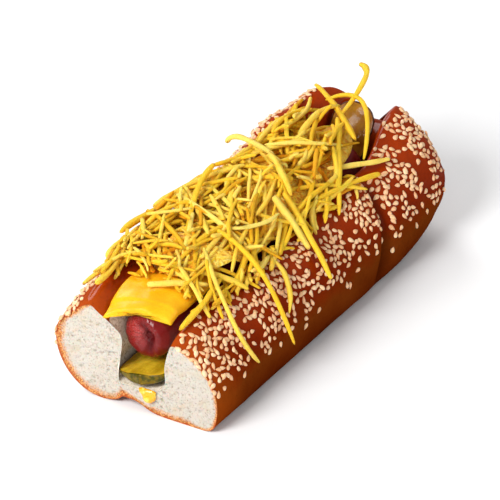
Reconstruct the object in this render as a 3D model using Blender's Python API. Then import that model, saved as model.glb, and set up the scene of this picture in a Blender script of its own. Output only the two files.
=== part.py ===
"""Hot dog with straw potatoes in a plaited seeded bun. Metres, +Z up, cut end of the bun at -X."""

import math
import random

import bmesh
import bpy
from mathutils import Vector
from mathutils.bvhtree import BVHTree

MM = 0.001
GAP = 0.35  # clearance between neighbouring pieces, mm

# Bun, mm
CUT_X = -100.0
END_X = 107.0
END_START_X = 50.0
BASE_NEAR = 32.0
NEAR_SIDE = 38.9
LEFT_SIDE = 42.0
NEAR_LIP = 43.0
LEFT_LIP = 49.0
SLIT_FLOOR = 10.4
END_WALL = 40.0
TEAR_HEIGHT = 4.2
TEAR_Y = 4.0
CREASE_DEPTH = 3.4
CREASE_X = 38.6
CREASE_LEAN = 0.405

# Sausage, mm
SAUSAGE_RADIUS = 11.5
SAUSAGE_FRONT = -95.8
SAUSAGE_BACK = 76.0
SAUSAGE_Y = 1.0
SAUSAGE_Z = 34.0

# Cheese slice, mm
CHEESE_THICKNESS = 3.2
CHEESE_TOP = 50.0
CHEESE_BACK = -48.0

# Pickle slices, mm
PICKLE_LENGTH = 88.0
PICKLE_WIDTH = 24.4
PICKLE_THICKNESS = 6.2
PICKLE_FRONT = -101.6
PICKLE_Y = 0.3
PICKLE_TILT = 11.0
END_PICKLE_LENGTH = 29.0
END_PICKLE_SLOPE = 52.0

# Sesame seed, mm
SEED_LENGTH = 3.3
SEED_WIDTH = 2.1
SEED_HEIGHT = 1.3
SEEDS_NEAR = 98
SEEDS_LEFT = 36
SEED_SPACING = 4.3

# Straw potatoes, mm
STRAW_WIDTH = 2.1
HEAP_FRONT = -74.0
HEAP_BACK = 94.0
LOOSE_STRAWS = 16


def clear_scene():
    for item in list(bpy.data.objects):
        bpy.data.objects.remove(item, do_unlink=True)


def ease(value, start, end):
    t = min(max((value - start) / (end - start), 0.0), 1.0)
    return t * t * (3.0 - 2.0 * t)


def bell(value, width):
    return math.exp(-((value / width) ** 2))


def material(name, colour, roughness, coat=0.0):
    item = bpy.data.materials.new(name)
    item.use_nodes = True
    shader = item.node_tree.nodes["Principled BSDF"]
    shader.inputs["Base Color"].default_value = (*colour, 1.0)
    shader.inputs["Roughness"].default_value = roughness
    shader.inputs["Coat Weight"].default_value = coat
    item.diffuse_color = (*colour, 1.0)
    return item


def mesh_object(name, points, faces):
    mesh = bpy.data.meshes.new(name)
    mesh.from_pydata([[c * MM for c in p] for p in points], [], faces)
    work = bmesh.new()
    work.from_mesh(mesh)
    bmesh.ops.recalc_face_normals(work, faces=work.faces)
    bmesh.ops.triangulate(work, faces=work.faces)
    work.to_mesh(mesh)
    work.free()
    item = bpy.data.objects.new(name, mesh)
    bpy.context.scene.collection.objects.link(item)
    return item


def loft(name, rings):
    """Closed body through rings of equally many points, each end closed by one flat face."""
    count = len(rings[0])
    points = [p for ring in rings for p in ring]
    faces = [tuple(range(count)), tuple(range(len(points) - count, len(points)))]
    for row in range(len(rings) - 1):
        for col in range(count):
            after = (col + 1) % count
            low = row * count
            high = low + count
            faces.append((low + col, low + after, high + after, high + col))
    return mesh_object(name, points, faces)


def lip_heights(x):
    pinch = math.exp(-(x - CUT_X) / 6.0)
    rise = ease(x, 58.0, 98.0)
    near = NEAR_LIP - 5.0 * pinch + 9.0 * rise
    left = LEFT_LIP - 3.0 * pinch + 2.5 * rise
    return near, left, pinch, rise


def slit_floor(x):
    return SLIT_FLOOR + (END_WALL - SLIT_FLOOR) * ease(x, 62.0, 104.0)


def bun_outline(x):
    """Control points (y, z) of the bun's section: slit floor, near half, base, left half."""
    near, left, pinch, rise = lip_heights(x)
    floor = slit_floor(x)
    squeeze = 4.6 * math.exp(-(x - CUT_X) / 1.7)
    swing = ease(x, 62.0, 96.0)
    near_deep = near - floor
    left_deep = left - floor
    tip = 4.5 * rise
    return [
        (-7.0 + 7.0 * swing, floor + 0.065 * near_deep),
        (-12.4 + 7.0 * swing, floor + 0.23 * near_deep),
        (-12.9 + 0.5 * pinch + 6.5 * swing, floor + 0.55 * near_deep),
        (-14.2 + 5.5 * swing, floor + 0.85 * near_deep),
        (-16.8 + tip, near),
        (-24.5 + 0.6 * tip, 0.905 * near + 0.5),
        (-31.0, 0.775 * near),
        (-36.2, 0.6 * near),
        (-NEAR_SIDE, 0.38 * near),
        (-NEAR_SIDE, 0.18 * near),
        (-37.0, 2.2),
        (-BASE_NEAR, 0.0),
        (-14.0, 0.0),
        (4.0, 0.0),
        (19.0, 0.0),
        (29.0, 2.4),
        (36.5, 9.0),
        (LEFT_SIDE - 1.0, 19.0),
        (LEFT_SIDE - 0.5 * pinch, 30.0),
        (39.6 - 3.0 * pinch, left - 9.5),
        (34.5 - 3.5 * pinch, left - 3.0),
        (28.0 - 2.0 * pinch + 2.0 * rise, left),
        (21.0 + 4.0 * swing, floor + 0.918 * left_deep),
        (17.2 + 5.3 * swing - 0.6 * squeeze, floor + 0.808 * left_deep),
        (13.9 + 6.3 * swing - squeeze, floor + 0.667 * left_deep),
        (13.4 + 6.3 * swing - 0.75 * squeeze, floor + 0.36 * left_deep),
        (14.6 + 4.8 * swing - 0.8 * squeeze, floor + 0.15 * left_deep),
        (9.5 + 5.5 * swing, floor + 0.018 * left_deep),
    ]


def smooth_loop(points, steps):
    """Closed curve through the control points, each span cut into equal steps."""
    count = len(points)
    curve = []
    for i in range(count):
        a, b = points[i - 1], points[i]
        c, d = points[(i + 1) % count], points[(i + 2) % count]
        for step in range(steps):
            t = step / steps
            pair = []
            for k in range(2):
                slope_b = 0.5 * (c[k] - a[k])
                slope_c = 0.5 * (d[k] - b[k])
                pair.append(
                    (2 * t**3 - 3 * t**2 + 1) * b[k]
                    + (t**3 - 2 * t**2 + t) * slope_b
                    + (3 * t**2 - 2 * t**3) * c[k]
                    + (t**3 - t**2) * slope_c
                )
            curve.append((pair[0], max(pair[1], 0.0)))
    return curve


def shape_end(x, y, z):
    """Rounded far end: the section shrinks, its underside lifting first and its lips last."""
    u = min(max((x - END_START_X) / (END_X - END_START_X), 0.0), 0.985)
    across = (1.0 - u**6) ** (1 / 6)
    power = 2 if z < 30.0 else 10
    upright = (1.0 - u**power) ** (1 / power)
    return 3.0 + (y - 3.0) * across, 30.0 + (z - 30.0) * upright


def shape_crease(x, y, z):
    """Crease between the long plait of the bun and its end knot, leaning back as it rises."""
    line = CREASE_X + CREASE_LEAN * z
    off = x - line
    depth = CREASE_DEPTH * bell(off, 3.6)
    swell = -1.3 * bell(off - 12.0, 9.0) - 0.6 * bell(off + 14.0, 10.0)
    outside = ease(abs(y - 1.0), 17.0, 27.0) * ease(z, 1.0, 8.0)
    push = (depth + swell) * outside
    side = 1.0 if y > 0 else -1.0
    return y - side * push, z - 0.45 * push * ease(z, 20.0, 40.0)


def shape_wobble(x, y, z):
    outside = ease(abs(y - 1.0), 19.0, 28.0) * ease(z, 1.0, 8.0)
    side = 1.0 if y > 0 else -1.0
    wave = 0.7 * math.sin(x / 15.0 + 0.08 * z) + 0.45 * math.sin(x / 7.3 + side + 0.1 * z)
    return y + side * 0.8 * wave * outside, z + 0.6 * wave * outside * ease(z, 20.0, 40.0)


def shape_tear(x, y, z):
    """The hinge under the slit is torn up off the plate next to the cut."""
    arch = TEAR_HEIGHT * bell(y - TEAR_Y, 8.0) * bell(x - CUT_X, 7.0)
    return z + arch * (1.0 - ease(z, 0.0, 9.0))


def bun_point(x, y, z):
    y, z = shape_crease(x, y, z)
    y, z = shape_wobble(x, y, z)
    z = shape_tear(x, y, z)
    y, z = shape_end(x, y, z)
    return (x, y, max(z, 0.0))


def bun_stations():
    stations = [CUT_X, -98.0, -95.0, -91.0, -86.0, -79.0]
    stations += [-71.0 + 8.5 * i for i in range(13)]
    stations += [37.0 + 3.0 * i for i in range(9)]
    stations += [66.0, 71.0, 76.5, 82.0, 87.0, 91.5, 95.5, 98.5, 101.0, 103.0, 104.6, 105.8]
    return stations


def bun_rings(steps):
    rings = []
    for x in bun_stations():
        outline = smooth_loop(bun_outline(x), steps)
        rings.append([bun_point(x, y, z) for y, z in outline])
    last = rings[-1]
    centre = [sum(p[k] for p in last) / len(last) for k in range(3)]
    for share, step in ((0.8, 0.65), (0.45, 1.1)):
        ring = []
        for p in last:
            ring.append(
                (
                    p[0] + step,
                    centre[1] + (p[1] - centre[1]) * share,
                    centre[2] + (p[2] - centre[2]) * share,
                )
            )
        rings.append(ring)
    return rings


def turn(points, centre, along, across, up):
    """Places points given as (along, across, up) at a centre on three directions."""
    return [
        tuple(centre[k] + a * along[k] + b * across[k] + c * up[k] for k in range(3))
        for a, b, c in points
    ]


def seed_rings(size):
    """Teardrop seed: pointed at one end, broad at the other."""
    rings = []
    for along, width in ((-0.5, 0.2), (0.08, 1.0), (0.46, 0.5)):
        ring = []
        for i in range(4):
            angle = 0.5 * math.pi * i
            ring.append(
                (
                    along * SEED_LENGTH * size,
                    0.5 * SEED_WIDTH * size * width * math.cos(angle),
                    0.5 * SEED_HEIGHT * size * width * math.sin(angle),
                )
            )
        rings.append(ring)
    return rings


def surface_at(tree, start, direction):
    hit = tree.ray_cast(Vector(start) * MM, Vector(direction))
    if hit[0] is None:
        return None
    return hit[0] / MM, hit[1]


def seed_spots(tree, others, rng):
    """Places for seeds, thick on the upper sides of both halves and thin lower down."""
    spots = []
    wanted = [(-1, SEEDS_NEAR), (1, SEEDS_LEFT)]
    for side, count in wanted:
        made = 0
        for _ in range(count * 40):
            if made == count:
                break
            x = rng.uniform(CUT_X + 2.6, END_X - 5.0)
            tilt = math.radians(rng.uniform(-4.0, 80.0) if side < 0 else rng.uniform(5.0, 62.0))
            if side < 0 and rng.random() > 0.3 + 0.7 * ease(math.degrees(tilt), 5.0, 38.0):
                continue
            out = Vector((0.0, side * math.cos(tilt), math.sin(tilt)))
            start = Vector((x, side * 17.0, 18.0)) + out * 60.0
            found = surface_at(tree, start, -out)
            if found is None:
                continue
            place, normal = found
            if place.z < 12.0 or normal.x < -0.9 or abs(place.y) < 17.5:
                continue
            if any((place - other).length < SEED_SPACING for other, _ in spots):
                continue
            near = others.find_nearest(place * MM)
            if near[0] is not None and near[3] / MM < 2.3:
                continue
            spots.append((place, normal))
            made += 1
    return spots


def make_seeds(spots, rng):
    seeds = []
    for place, normal in spots:
        up = normal.normalized()
        along = up.cross(Vector((0.3, rng.uniform(-1, 1), rng.uniform(-1, 1)))).normalized()
        across = up.cross(along)
        size = rng.uniform(0.92, 1.1)
        centre = place + up * 0.22
        rings = [turn(ring, centre, along, across, up) for ring in seed_rings(size)]
        seeds.append(loft("seed", rings))
    return seeds


def join(body, pieces):
    """Fuses the pieces onto the body and keeps its largest connected shell."""
    group = bpy.data.collections.new("joined_pieces")
    bpy.context.scene.collection.children.link(group)
    for piece in pieces:
        bpy.context.scene.collection.objects.unlink(piece)
        group.objects.link(piece)
    union = body.modifiers.new("union", "BOOLEAN")
    union.operation = "UNION"
    union.operand_type = "COLLECTION"
    union.collection = group
    union.solver = "MANIFOLD"
    bpy.context.view_layer.update()
    graph = bpy.context.evaluated_depsgraph_get()
    joined = bpy.data.meshes.new_from_object(body.evaluated_get(graph))
    body.modifiers.remove(union)
    body.data = joined
    for piece in pieces:
        bpy.data.objects.remove(piece, do_unlink=True)
    bpy.data.collections.remove(group)
    tidy(body)


def shells(work):
    """Connected groups of faces, the largest first."""
    left = set(work.faces)
    groups = []
    while left:
        group = {left.pop()}
        edge = list(group)
        while edge:
            face = edge.pop()
            for side in face.edges:
                for other in side.link_faces:
                    if other in left:
                        left.discard(other)
                        group.add(other)
                        edge.append(other)
        groups.append(group)
    return sorted(groups, key=len, reverse=True)


def tidy(body):
    work = bmesh.new()
    work.from_mesh(body.data)
    bmesh.ops.remove_doubles(work, verts=work.verts, dist=0.00002)
    bmesh.ops.dissolve_degenerate(work, edges=work.edges, dist=0.00001)
    bmesh.ops.triangulate(work, faces=work.faces)
    for group in shells(work)[1:]:
        bmesh.ops.delete(work, geom=list(group), context="FACES")
    loose = [v for v in work.verts if not v.link_faces]
    bmesh.ops.delete(work, geom=loose, context="VERTS")
    bmesh.ops.recalc_face_normals(work, faces=work.faces)
    work.to_mesh(body.data)
    work.free()


def make_sausage():
    """Round sausage with a pinched, dimpled end, bowed a little."""
    length = SAUSAGE_BACK - SAUSAGE_FRONT
    profile = [(1.9, 1.2), (0.3, 3.2), (0.0, 6.0), (1.0, 8.7), (3.0, 10.5), (6.0, 11.4)]
    stations = list(profile)
    stations += [(18.0, 11.5), (40.0, 11.5), (65.0, 11.5), (length / 2, 11.5)]
    stations += [(length - along, radius) for along, radius in reversed([*profile, (22.0, 11.5)])]
    rings = []
    for along, radius in stations:
        t = along / length
        bow = math.sin(math.pi * t)
        ring = []
        for i in range(16):
            angle = 2 * math.pi * i / 16
            ring.append(
                (
                    SAUSAGE_FRONT + along,
                    SAUSAGE_Y + 0.3 * bow + radius * math.cos(angle),
                    SAUSAGE_Z - 0.4 * bow + radius * math.sin(angle),
                )
            )
        rings.append(ring)
    return loft("sausage", rings)


def cheese_top(x, y):
    """Height of the draped slice: an arch over the sausage, climbing the left half."""
    off = y - 3.5
    level = 1.0 - 0.8 * ease(x, -101.0, -84.0)
    drop = (0.021 * level if off > 0 else 0.023) * off * off
    fold = 0.9 * ease(x + 0.30 * off, -92.0, -89.5)
    return CHEESE_TOP - drop + fold


def make_cheese():
    """Slice draped over the sausage, its front edge slanting back towards the near side."""
    rings = []
    columns = 11
    for t in (0.0, 0.035, 0.1, 0.16, 0.22, 0.3, 0.5, 0.75, 0.97, 1.0):
        shrink = 0.5 if t in (0.0, 1.0) else 0.0
        droop = 1.3 * (1.0 - ease(t, 0.0, 0.1))
        top = []
        bottom = []
        for i in range(columns):
            s = i / (columns - 1)
            front = -91.5 - 10.3 * s
            x = front + (CHEESE_BACK - front) * t
            edge = -10.9 + 0.4 * math.sin(x / 9.0)
            y = edge + (17.6 + 2.0 * ease(x, -101.0, -80.0) - edge) * s
            z = cheese_top(x, y) - droop
            rim = 0.55 if i in (0, columns - 1) else 0.0
            top.append((x, y, z - rim - shrink))
            bottom.append((x, y, z - CHEESE_THICKNESS + rim + shrink))
        rings.append(top + bottom[::-1])
    return loft("cheese_slice", rings)


def pickle_rings(length, width, thickness, blunt, point):
    """Lengthwise slice: flat flesh side up, round rind below, its front end rounded over blunt mm."""
    rings = []
    reach = 0.5 * width
    marks = [blunt * share for share in (0.0, 0.09, 0.25, 0.5, 0.8, 1.2)]
    marks += [length * share for share in (0.5, 0.7)]
    marks += [length - reach * share for share in (1.1, 0.65, 0.32, 0.1, 0.0)]
    for along in sorted(marks):
        curve = blunt if along < 0.5 * length else reach
        end = min(along, length - along)
        grow = 1.0 if end > curve else math.sqrt(max(0.05, 1.0 - ((curve - end) / curve) ** 2.4))
        half = reach * grow
        deep = thickness * (0.62 + 0.38 * grow)
        ring = []
        for i in range(5):
            ring.append((half * (1.0 - 0.5 * i), 0.25 * (1.0 - (1.0 - 0.5 * i) ** 2)))
        for i in range(1, 8):
            angle = math.pi * i / 8
            ring.append((-half * math.cos(angle), -deep * math.sin(angle)))
        rings.append([point(along, y, z) for y, z in ring])
    return rings


def make_pickle():
    """Slice under the sausage, its end pushed out of the cut, one side higher."""
    tilt = math.radians(PICKLE_TILT)

    def point(along, y, z):
        across = y * math.cos(tilt) + z * math.sin(tilt)
        lift = z * math.cos(tilt) - y * math.sin(tilt)
        return (PICKLE_FRONT + along, PICKLE_Y + across, 18.8 + lift)

    return loft("pickle_slice", pickle_rings(PICKLE_LENGTH, PICKLE_WIDTH, PICKLE_THICKNESS, 5.5, point))


def make_end_pickle():
    """Second slice leaning on the closed end of the bun, its round end standing clear."""
    slope = math.radians(END_PICKLE_SLOPE)

    def point(along, y, z):
        lift = along * math.sin(slope) + z * math.cos(slope)
        run = along * math.cos(slope) - z * math.sin(slope)
        return (79.0 + run, 6.5 + y, 28.5 + lift)

    return loft("end_pickle_slice", pickle_rings(END_PICKLE_LENGTH, 21.0, 4.5, 10.5, point))


def make_sauce():
    """Drip hanging from under the pickle down the cut face."""
    rings = []
    for z, half, deep in (
        (12.6, 3.0, 0.7),
        (11.9, 4.4, 1.3),
        (10.6, 4.2, 1.7),
        (9.2, 3.6, 1.9),
        (7.8, 2.9, 2.1),
        (6.6, 2.0, 1.8),
        (6.0, 0.9, 0.9),
    ):
        ring = []
        for i in range(10):
            angle = 2 * math.pi * i / 10
            outward = max(math.sin(angle), -0.15)
            ring.append(
                (
                    CUT_X - GAP - 0.4 - deep * outward,
                    -4.8 + 0.16 * (z - 9.0) + half * math.cos(angle),
                    z,
                )
            )
        rings.append(ring)
    return loft("cheese_sauce", rings)


def heap_core():
    """Low uneven mound that the straws lie in, over the sausage and both lips."""
    rings = []
    count = 17
    for row in range(count):
        t = row / (count - 1)
        x = HEAP_FRONT + (HEAP_BACK - HEAP_FRONT) * t
        grow = math.sqrt(max(0.06, 1.0 - abs(2 * t - 1) ** 3.5))
        over_cheese = 1.0 - ease(x, -46.0, -36.0)
        bottom = 46.3 + 5.4 * over_cheese + 3.0 * ease(x, 60.0, 92.0)
        middle = 3.0 + 2.0 * math.sin(x / 21.0)
        half = 17.5 * grow
        tall = (8.0 + 1.5 * math.sin(x / 11.0) - 3.0 * over_cheese) * grow
        ring = []
        for i in range(12):
            angle = 2 * math.pi * i / 12
            y = middle + half * math.cos(angle)
            lift = tall * max(math.sin(angle), 0.0) + 0.10 * (y + 12.0)
            ring.append((x, y, bottom + lift))
        rings.append(ring)
    return loft("straw_potatoes", rings)


def straw_path(start, middle, end, steps):
    """Bent line from start through middle to end."""
    a, b = Vector(start), Vector(end)
    pull = 2.0 * Vector(middle) - 0.5 * (a + b)
    path = []
    for i in range(steps + 1):
        t = i / steps
        path.append(a * (1 - t) ** 2 + pull * 2 * t * (1 - t) + b * t**2)
    return path


def straw_body(path, width):
    """Square bar along a path."""
    rings = []
    last = len(path) - 1
    for i, p in enumerate(path):
        along = (path[min(i + 1, last)] - path[max(i - 1, 0)]).normalized()
        side = along.cross(Vector((0.0, 0.0, 1.0)))
        side = side.normalized() if side.length > 0.05 else Vector((0.0, 1.0, 0.0))
        lift = side.cross(along)
        half = 0.5 * width
        rings.append(
            [tuple(p + side * a * half + lift * b * half) for a, b in ((1, 1), (-1, 1), (-1, -1), (1, -1))]
        )
    return loft("straw", rings)


# Start, middle and end of each straw that stands out, mm
STANDING_STRAWS = [
    ((-20, 30, 58), (-28, 9, 59), (-33, -12, 53)),
    ((2, 24, 64), (-21, 20, 60), (-50, 6, 55)),
    ((-34, 5, 57), (-40, -23, 49), (-43, -44, 17)),
    ((-50, -2, 57), (-74, -31, 42), (-66, -40, 19)),
    ((-25, -20, 45), (-28, -31, 38.5), (-39, -39, 29)),
    ((-1, -8, 59), (-2, -18, 50), (-4, -28, 40)),
    ((9, -7, 56), (-1, -28, 42), (-5, -40, 29)),
    ((-84, 6, 53.5), (-76, -3, 53), (-64, -13, 49)),
    ((-66, -4, 53.5), (-57, -13, 50), (-50, -25, 43)),
    ((-56, -14, 49), (-74, -17, 47), (-95, -17, 44)),
    ((-8, 22, 54), (-30, 34, 54), (-54, 38, 54)),
    ((-93, 33, 50), (-67, 30, 52), (-38, 26, 53)),
    ((-70, 34, 50), (-60, 34, 54), (-37, 25, 52.5)),
    ((-31, -3, 57), (-20, -12, 56), (-6, -14, 55)),
    ((-38, 24, 53), (-51, 17, 56), (-64, 9, 54)),
    ((-32, 14, 60), (-51, 6, 58), (-66, 0, 53)),
    ((-62, 15, 54), (-69, 1, 54.5), (-69, -14, 48.5)),
    ((28, 33, 58), (31, 28, 61), (30, 10, 58)),
    ((101, 9, 68), (96, 3, 65), (76, 4, 56)),
    ((84, 16, 56), (84, -3, 60.6), (61, -17, 48)),
    ((95, 28, 54.5), (82, 11, 57), (66, -10, 53)),
    ((70, -25, 46), (57, -18, 48), (42, -10, 51)),
    ((60, -26, 44), (41, -21, 47), (20, -17, 48.5)),
    ((74, 4, 56), (53, -9, 54), (35, -20, 47)),
    ((27, 11, 59), (19, 2, 62), (8, -12, 56)),
    ((24, 30, 52.5), (20, 16, 57), (13, 0, 58)),
    ((35, 18, 58), (42, 4, 60), (58, -8, 54)),
    ((50, 9, 58), (68, 10, 60), (83, 8, 56)),
]


def random_straw(rng):
    x = rng.uniform(HEAP_FRONT + 4.0, HEAP_BACK - 4.0)
    y = rng.uniform(-9.0, 15.0)
    heading = math.radians(rng.choice((25.0, 35.0, 60.0, -50.0, 0.0, 100.0)) + rng.gauss(0, 22))
    length = rng.uniform(30.0, 58.0)
    pitch = rng.gauss(0, 0.16)
    centre = Vector((x, y, 55.0 + rng.uniform(0.0, 5.0) + 2.0 * ease(x, 40.0, 90.0)))
    half = 0.5 * length * Vector((math.cos(heading), math.sin(heading), pitch))
    bend = Vector((-half.y, half.x, 0.0)) * rng.gauss(0, 0.12)
    return centre - half, centre + bend + Vector((0.0, 0.0, rng.uniform(1.0, 5.0))), centre + half


def clear_of(path, obstacles, margin):
    for p in path:
        near = obstacles.find_nearest(p * MM)
        if near[0] is None:
            continue
        off = p * MM - near[0]
        if off.length < margin * MM or off.dot(near[1]) < 0.0:
            return False
    return True


def tree_of(items):
    points = []
    faces = []
    for item in items:
        start = len(points)
        points += [v.co.copy() for v in item.data.vertices]
        faces += [[start + i for i in f.vertices] for f in item.data.polygons]
    return BVHTree.FromPolygons(points, faces)


def fine(path):
    """The path with its spans cut in three."""
    out = []
    for a, b in zip(path, path[1:]):
        out += [a, a.lerp(b, 1 / 3), a.lerp(b, 2 / 3)]
    out.append(path[-1])
    return out


def make_straws(obstacles, rng):
    straws = []
    for start, middle, end in STANDING_STRAWS:
        path = straw_path(start, middle, end, 4)
        if clear_of(fine(path), obstacles, 0.5 * 1.42 * STRAW_WIDTH + GAP):
            straws.append(straw_body(path, STRAW_WIDTH))
    made = 0
    for _ in range(900):
        if made == LOOSE_STRAWS:
            break
        path = straw_path(*random_straw(rng), 3)
        if clear_of(fine(path), obstacles, 0.5 * 1.42 * STRAW_WIDTH + GAP):
            straws.append(straw_body(path, STRAW_WIDTH))
            made += 1
    return straws


def centre_on_base(items):
    """Moves everything so that the whole stands centred over the origin."""
    points = [v.co for item in items for v in item.data.vertices]
    middle = [0.5 * (min(p[k] for p in points) + max(p[k] for p in points)) for k in (0, 1)]
    shift = Vector((-middle[0], -middle[1], 0.0))
    for item in items:
        for v in item.data.vertices:
            v.co += shift


def finish(item, look):
    item.data.materials.clear()
    item.data.materials.append(look)
    for face in item.data.polygons:
        face.use_smooth = False
        face.material_index = 0


def build():
    clear_scene()
    rng = random.Random(17)
    bun = loft("bun", bun_rings(1))
    sausage = make_sausage()
    cheese = make_cheese()
    pickle = make_pickle()
    end_pickle = make_end_pickle()
    sauce = make_sauce()
    heap = heap_core()
    obstacles = tree_of([bun, sausage, cheese, pickle, end_pickle])
    join(heap, make_straws(obstacles, rng))
    spots = seed_spots(tree_of([bun]), tree_of([heap, cheese]), rng)
    join(bun, make_seeds(spots, rng))
    finish(bun, material("crust", (0.30, 0.075, 0.015), 0.35, 0.3))
    finish(sausage, material("sausage_skin", (0.20, 0.02, 0.015), 0.3, 0.3))
    finish(cheese, material("cheese", (0.95, 0.52, 0.03), 0.4))
    finish(pickle, material("pickle", (0.34, 0.28, 0.02), 0.35))
    finish(end_pickle, material("end_pickle", (0.30, 0.16, 0.01), 0.35))
    finish(sauce, material("sauce", (0.85, 0.38, 0.02), 0.3))
    finish(heap, material("straws", (0.85, 0.52, 0.07), 0.6))
    centre_on_base([bun, sausage, cheese, pickle, end_pickle, sauce, heap])


build()
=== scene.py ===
"""Hot dog with straw potatoes: fine surfaces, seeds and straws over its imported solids."""

import math
import random

import bmesh
import bpy
import numpy as np
from bpy.props import FloatProperty, FloatVectorProperty, IntProperty, PointerProperty
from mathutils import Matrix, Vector, noise
from mathutils.bvhtree import BVHTree


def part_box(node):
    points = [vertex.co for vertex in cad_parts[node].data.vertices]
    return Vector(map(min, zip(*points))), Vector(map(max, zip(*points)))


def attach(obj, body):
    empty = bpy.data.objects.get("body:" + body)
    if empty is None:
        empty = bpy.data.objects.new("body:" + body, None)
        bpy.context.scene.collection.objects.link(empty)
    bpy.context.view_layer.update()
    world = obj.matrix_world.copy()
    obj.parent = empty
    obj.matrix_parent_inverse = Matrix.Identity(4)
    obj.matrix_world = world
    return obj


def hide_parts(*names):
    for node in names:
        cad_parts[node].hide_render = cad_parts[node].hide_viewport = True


bl_info = {
    "name": "Hot Dog with Straw Potatoes",
    "version": (1, 0, 0),
    "blender": (4, 5, 0),
    "location": "3D View > Sidebar > Hot Dog",
    "description": "Builds a seeded hot dog bun with sausage, cheese, pickle and straw potatoes",
    "category": "Object",
}

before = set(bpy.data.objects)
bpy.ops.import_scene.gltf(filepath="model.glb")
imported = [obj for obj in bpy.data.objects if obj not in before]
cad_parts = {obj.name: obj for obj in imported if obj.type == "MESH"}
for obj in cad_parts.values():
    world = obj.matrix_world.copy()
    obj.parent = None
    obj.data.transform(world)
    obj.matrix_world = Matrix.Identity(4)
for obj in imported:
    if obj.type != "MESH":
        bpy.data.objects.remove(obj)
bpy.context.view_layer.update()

MM = 0.001

# The section's own frame has the bun's cut end at x = -100 mm and the slit round y = 0
CUT_X = -100.0
END_X = 107.0
END_START_X = 50.0
END_PICKLE_Y = 6.5
SHIFT = np.array(
    (
        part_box("bun")[0].x / MM - CUT_X,
        0.5 * (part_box("end_pickle_slice")[0].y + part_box("end_pickle_slice")[1].y) / MM - END_PICKLE_Y,
        0.0,
    )
)

# Bun, mm
BASE_NEAR = 32.0
NEAR_SIDE = 38.9
LEFT_SIDE = 42.0
NEAR_LIP = 43.0
LEFT_LIP = 49.0
SLIT_FLOOR = 10.4
END_WALL = 40.0
TEAR_HEIGHT = 4.2
TEAR_Y = 4.0
CREASE_DEPTH = 3.4
CREASE_X = 38.6
CREASE_LEAN = 0.405
BUN_MIDDLE = (0.0, 2.0, 22.0)
END_MIDDLE_Y = 3.0
END_MIDDLE_Z = 30.0
BAKED_HEIGHT = 46.0

# Crests among the section's control points, and steps along its paths and across the cut
NEAR_CREST = 4
LEFT_CREST = 21
PATH_STEPS = 110
RIB_STEPS = 56

# Filling, mm
SAUSAGE_FRONT = -95.8
SAUSAGE_BACK = 76.0
SAUSAGE_Y = 1.0
SAUSAGE_Z = 34.0
SAUSAGE_RADIUS = 11.5
CHEESE_THICKNESS = 3.2
CHEESE_TOP = 50.0
CHEESE_TOP_Y = 3.5
CHEESE_FRONT = -91.5
CHEESE_SLANT = 10.3
CHEESE_BACK = -48.0
CHEESE_NEAR_Y = -10.9
CHEESE_LEFT_Y = 17.6

# Drip of sauce, mm: its height, half width and depth from top to bottom
SAUCE_Y = -4.8
SAUCE_Z = 9.0
SAUCE_KNOTS = [
    (12.6, 3.0, 0.7),
    (11.9, 4.4, 1.3),
    (10.6, 4.2, 1.7),
    (9.2, 3.6, 1.9),
    (7.8, 2.9, 2.1),
    (6.6, 2.0, 1.8),
    (6.0, 0.9, 0.9),
]

# Pickle slices, mm and degrees: length, width and thickness, and how much of the front end is rounded
PICKLE_SIZE = (88.0, 24.4, 6.2)
PICKLE_ROUNDED = 5.5
PICKLE_FRONT = -101.6
PICKLE_Y = 0.3
PICKLE_Z = 18.8
PICKLE_TILT = 11.0
END_PICKLE_SIZE = (29.0, 21.0, 4.5)
END_PICKLE_ROUNDED = 10.5
END_PICKLE_X = 79.0
END_PICKLE_Z = 28.5
END_PICKLE_SLOPE = 52.0

# Heap, mm
HEAP_FRONT = -74.0
HEAP_BACK = 94.0
GROUND_X = (-112.0, 112.0)
GROUND_Y = (-52.0, 52.0)
GROUND_START_Z = 95.0
HEAP_GAP = 0.7
LOOSE_LOWEST = 40.0
CLEAR_X = -79.0
CLEAR_Y = 22.0
POKING_TOP = 67.0

# Corners of the heap's core, points at which a straw raises the ground, and tries for each straw
CORE_CORNERS = 40
TRACE_STEPS = 60
TRIES = 10

# Stage: the camera's aim in mm of the section's frame, the lights' aim and the floor's reach in m
CAMERA_AIM = (-6.0, 0.8, 31.3)
LIGHT_AIM = (0.0, 0.0, 0.03)
FLOOR_REACH = 6.0
SENSOR_WIDTH = 36.0


def srgb(red, green, blue):
    """Linear colour of a display colour given in 0 to 255."""
    out = []
    for value in (red, green, blue):
        v = value / 255.0
        out.append(v / 12.92 if v <= 0.04045 else ((v + 0.055) / 1.055) ** 2.4)
    return tuple(out)


def ease(value, start, end):
    t = np.clip((value - start) / (end - start), 0.0, 1.0)
    return t * t * (3.0 - 2.0 * t)


def bell(value, width):
    return np.exp(-((value / width) ** 2))


def circle(count):
    """Angles of equal steps once round."""
    return np.arange(count) * 2 * math.pi / count


def between(at, places, points):
    """Points at some places of a path whose own points lie at the given places."""
    return np.stack([np.interp(at, places, points[:, k]) for k in range(points.shape[1])], axis=1)


# Meshes


def quads(rows, cols, wrap):
    """Faces of a grid of points, rows by cols, its columns wrapped round or not."""
    row = np.arange(rows - 1)[:, None] * cols
    col = np.arange(cols if wrap else cols - 1)[None, :]
    after = (col + 1) % cols
    corners = [row + col, row + after, row + cols + after, row + cols + col]
    return np.stack(corners, axis=-1).reshape(-1, 4).tolist()


def new_object(name, data):
    """Object with the given data, put in the scene."""
    item = bpy.data.objects.new(name, data)
    bpy.context.scene.collection.objects.link(item)
    return item


def add_values(mesh, key, numbers):
    """Float attribute with a number for each point of the mesh."""
    layer = mesh.attributes.new(key, "FLOAT", "POINT")
    layer.data.foreach_set("value", np.asarray(numbers, dtype=np.float32).ravel())


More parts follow.
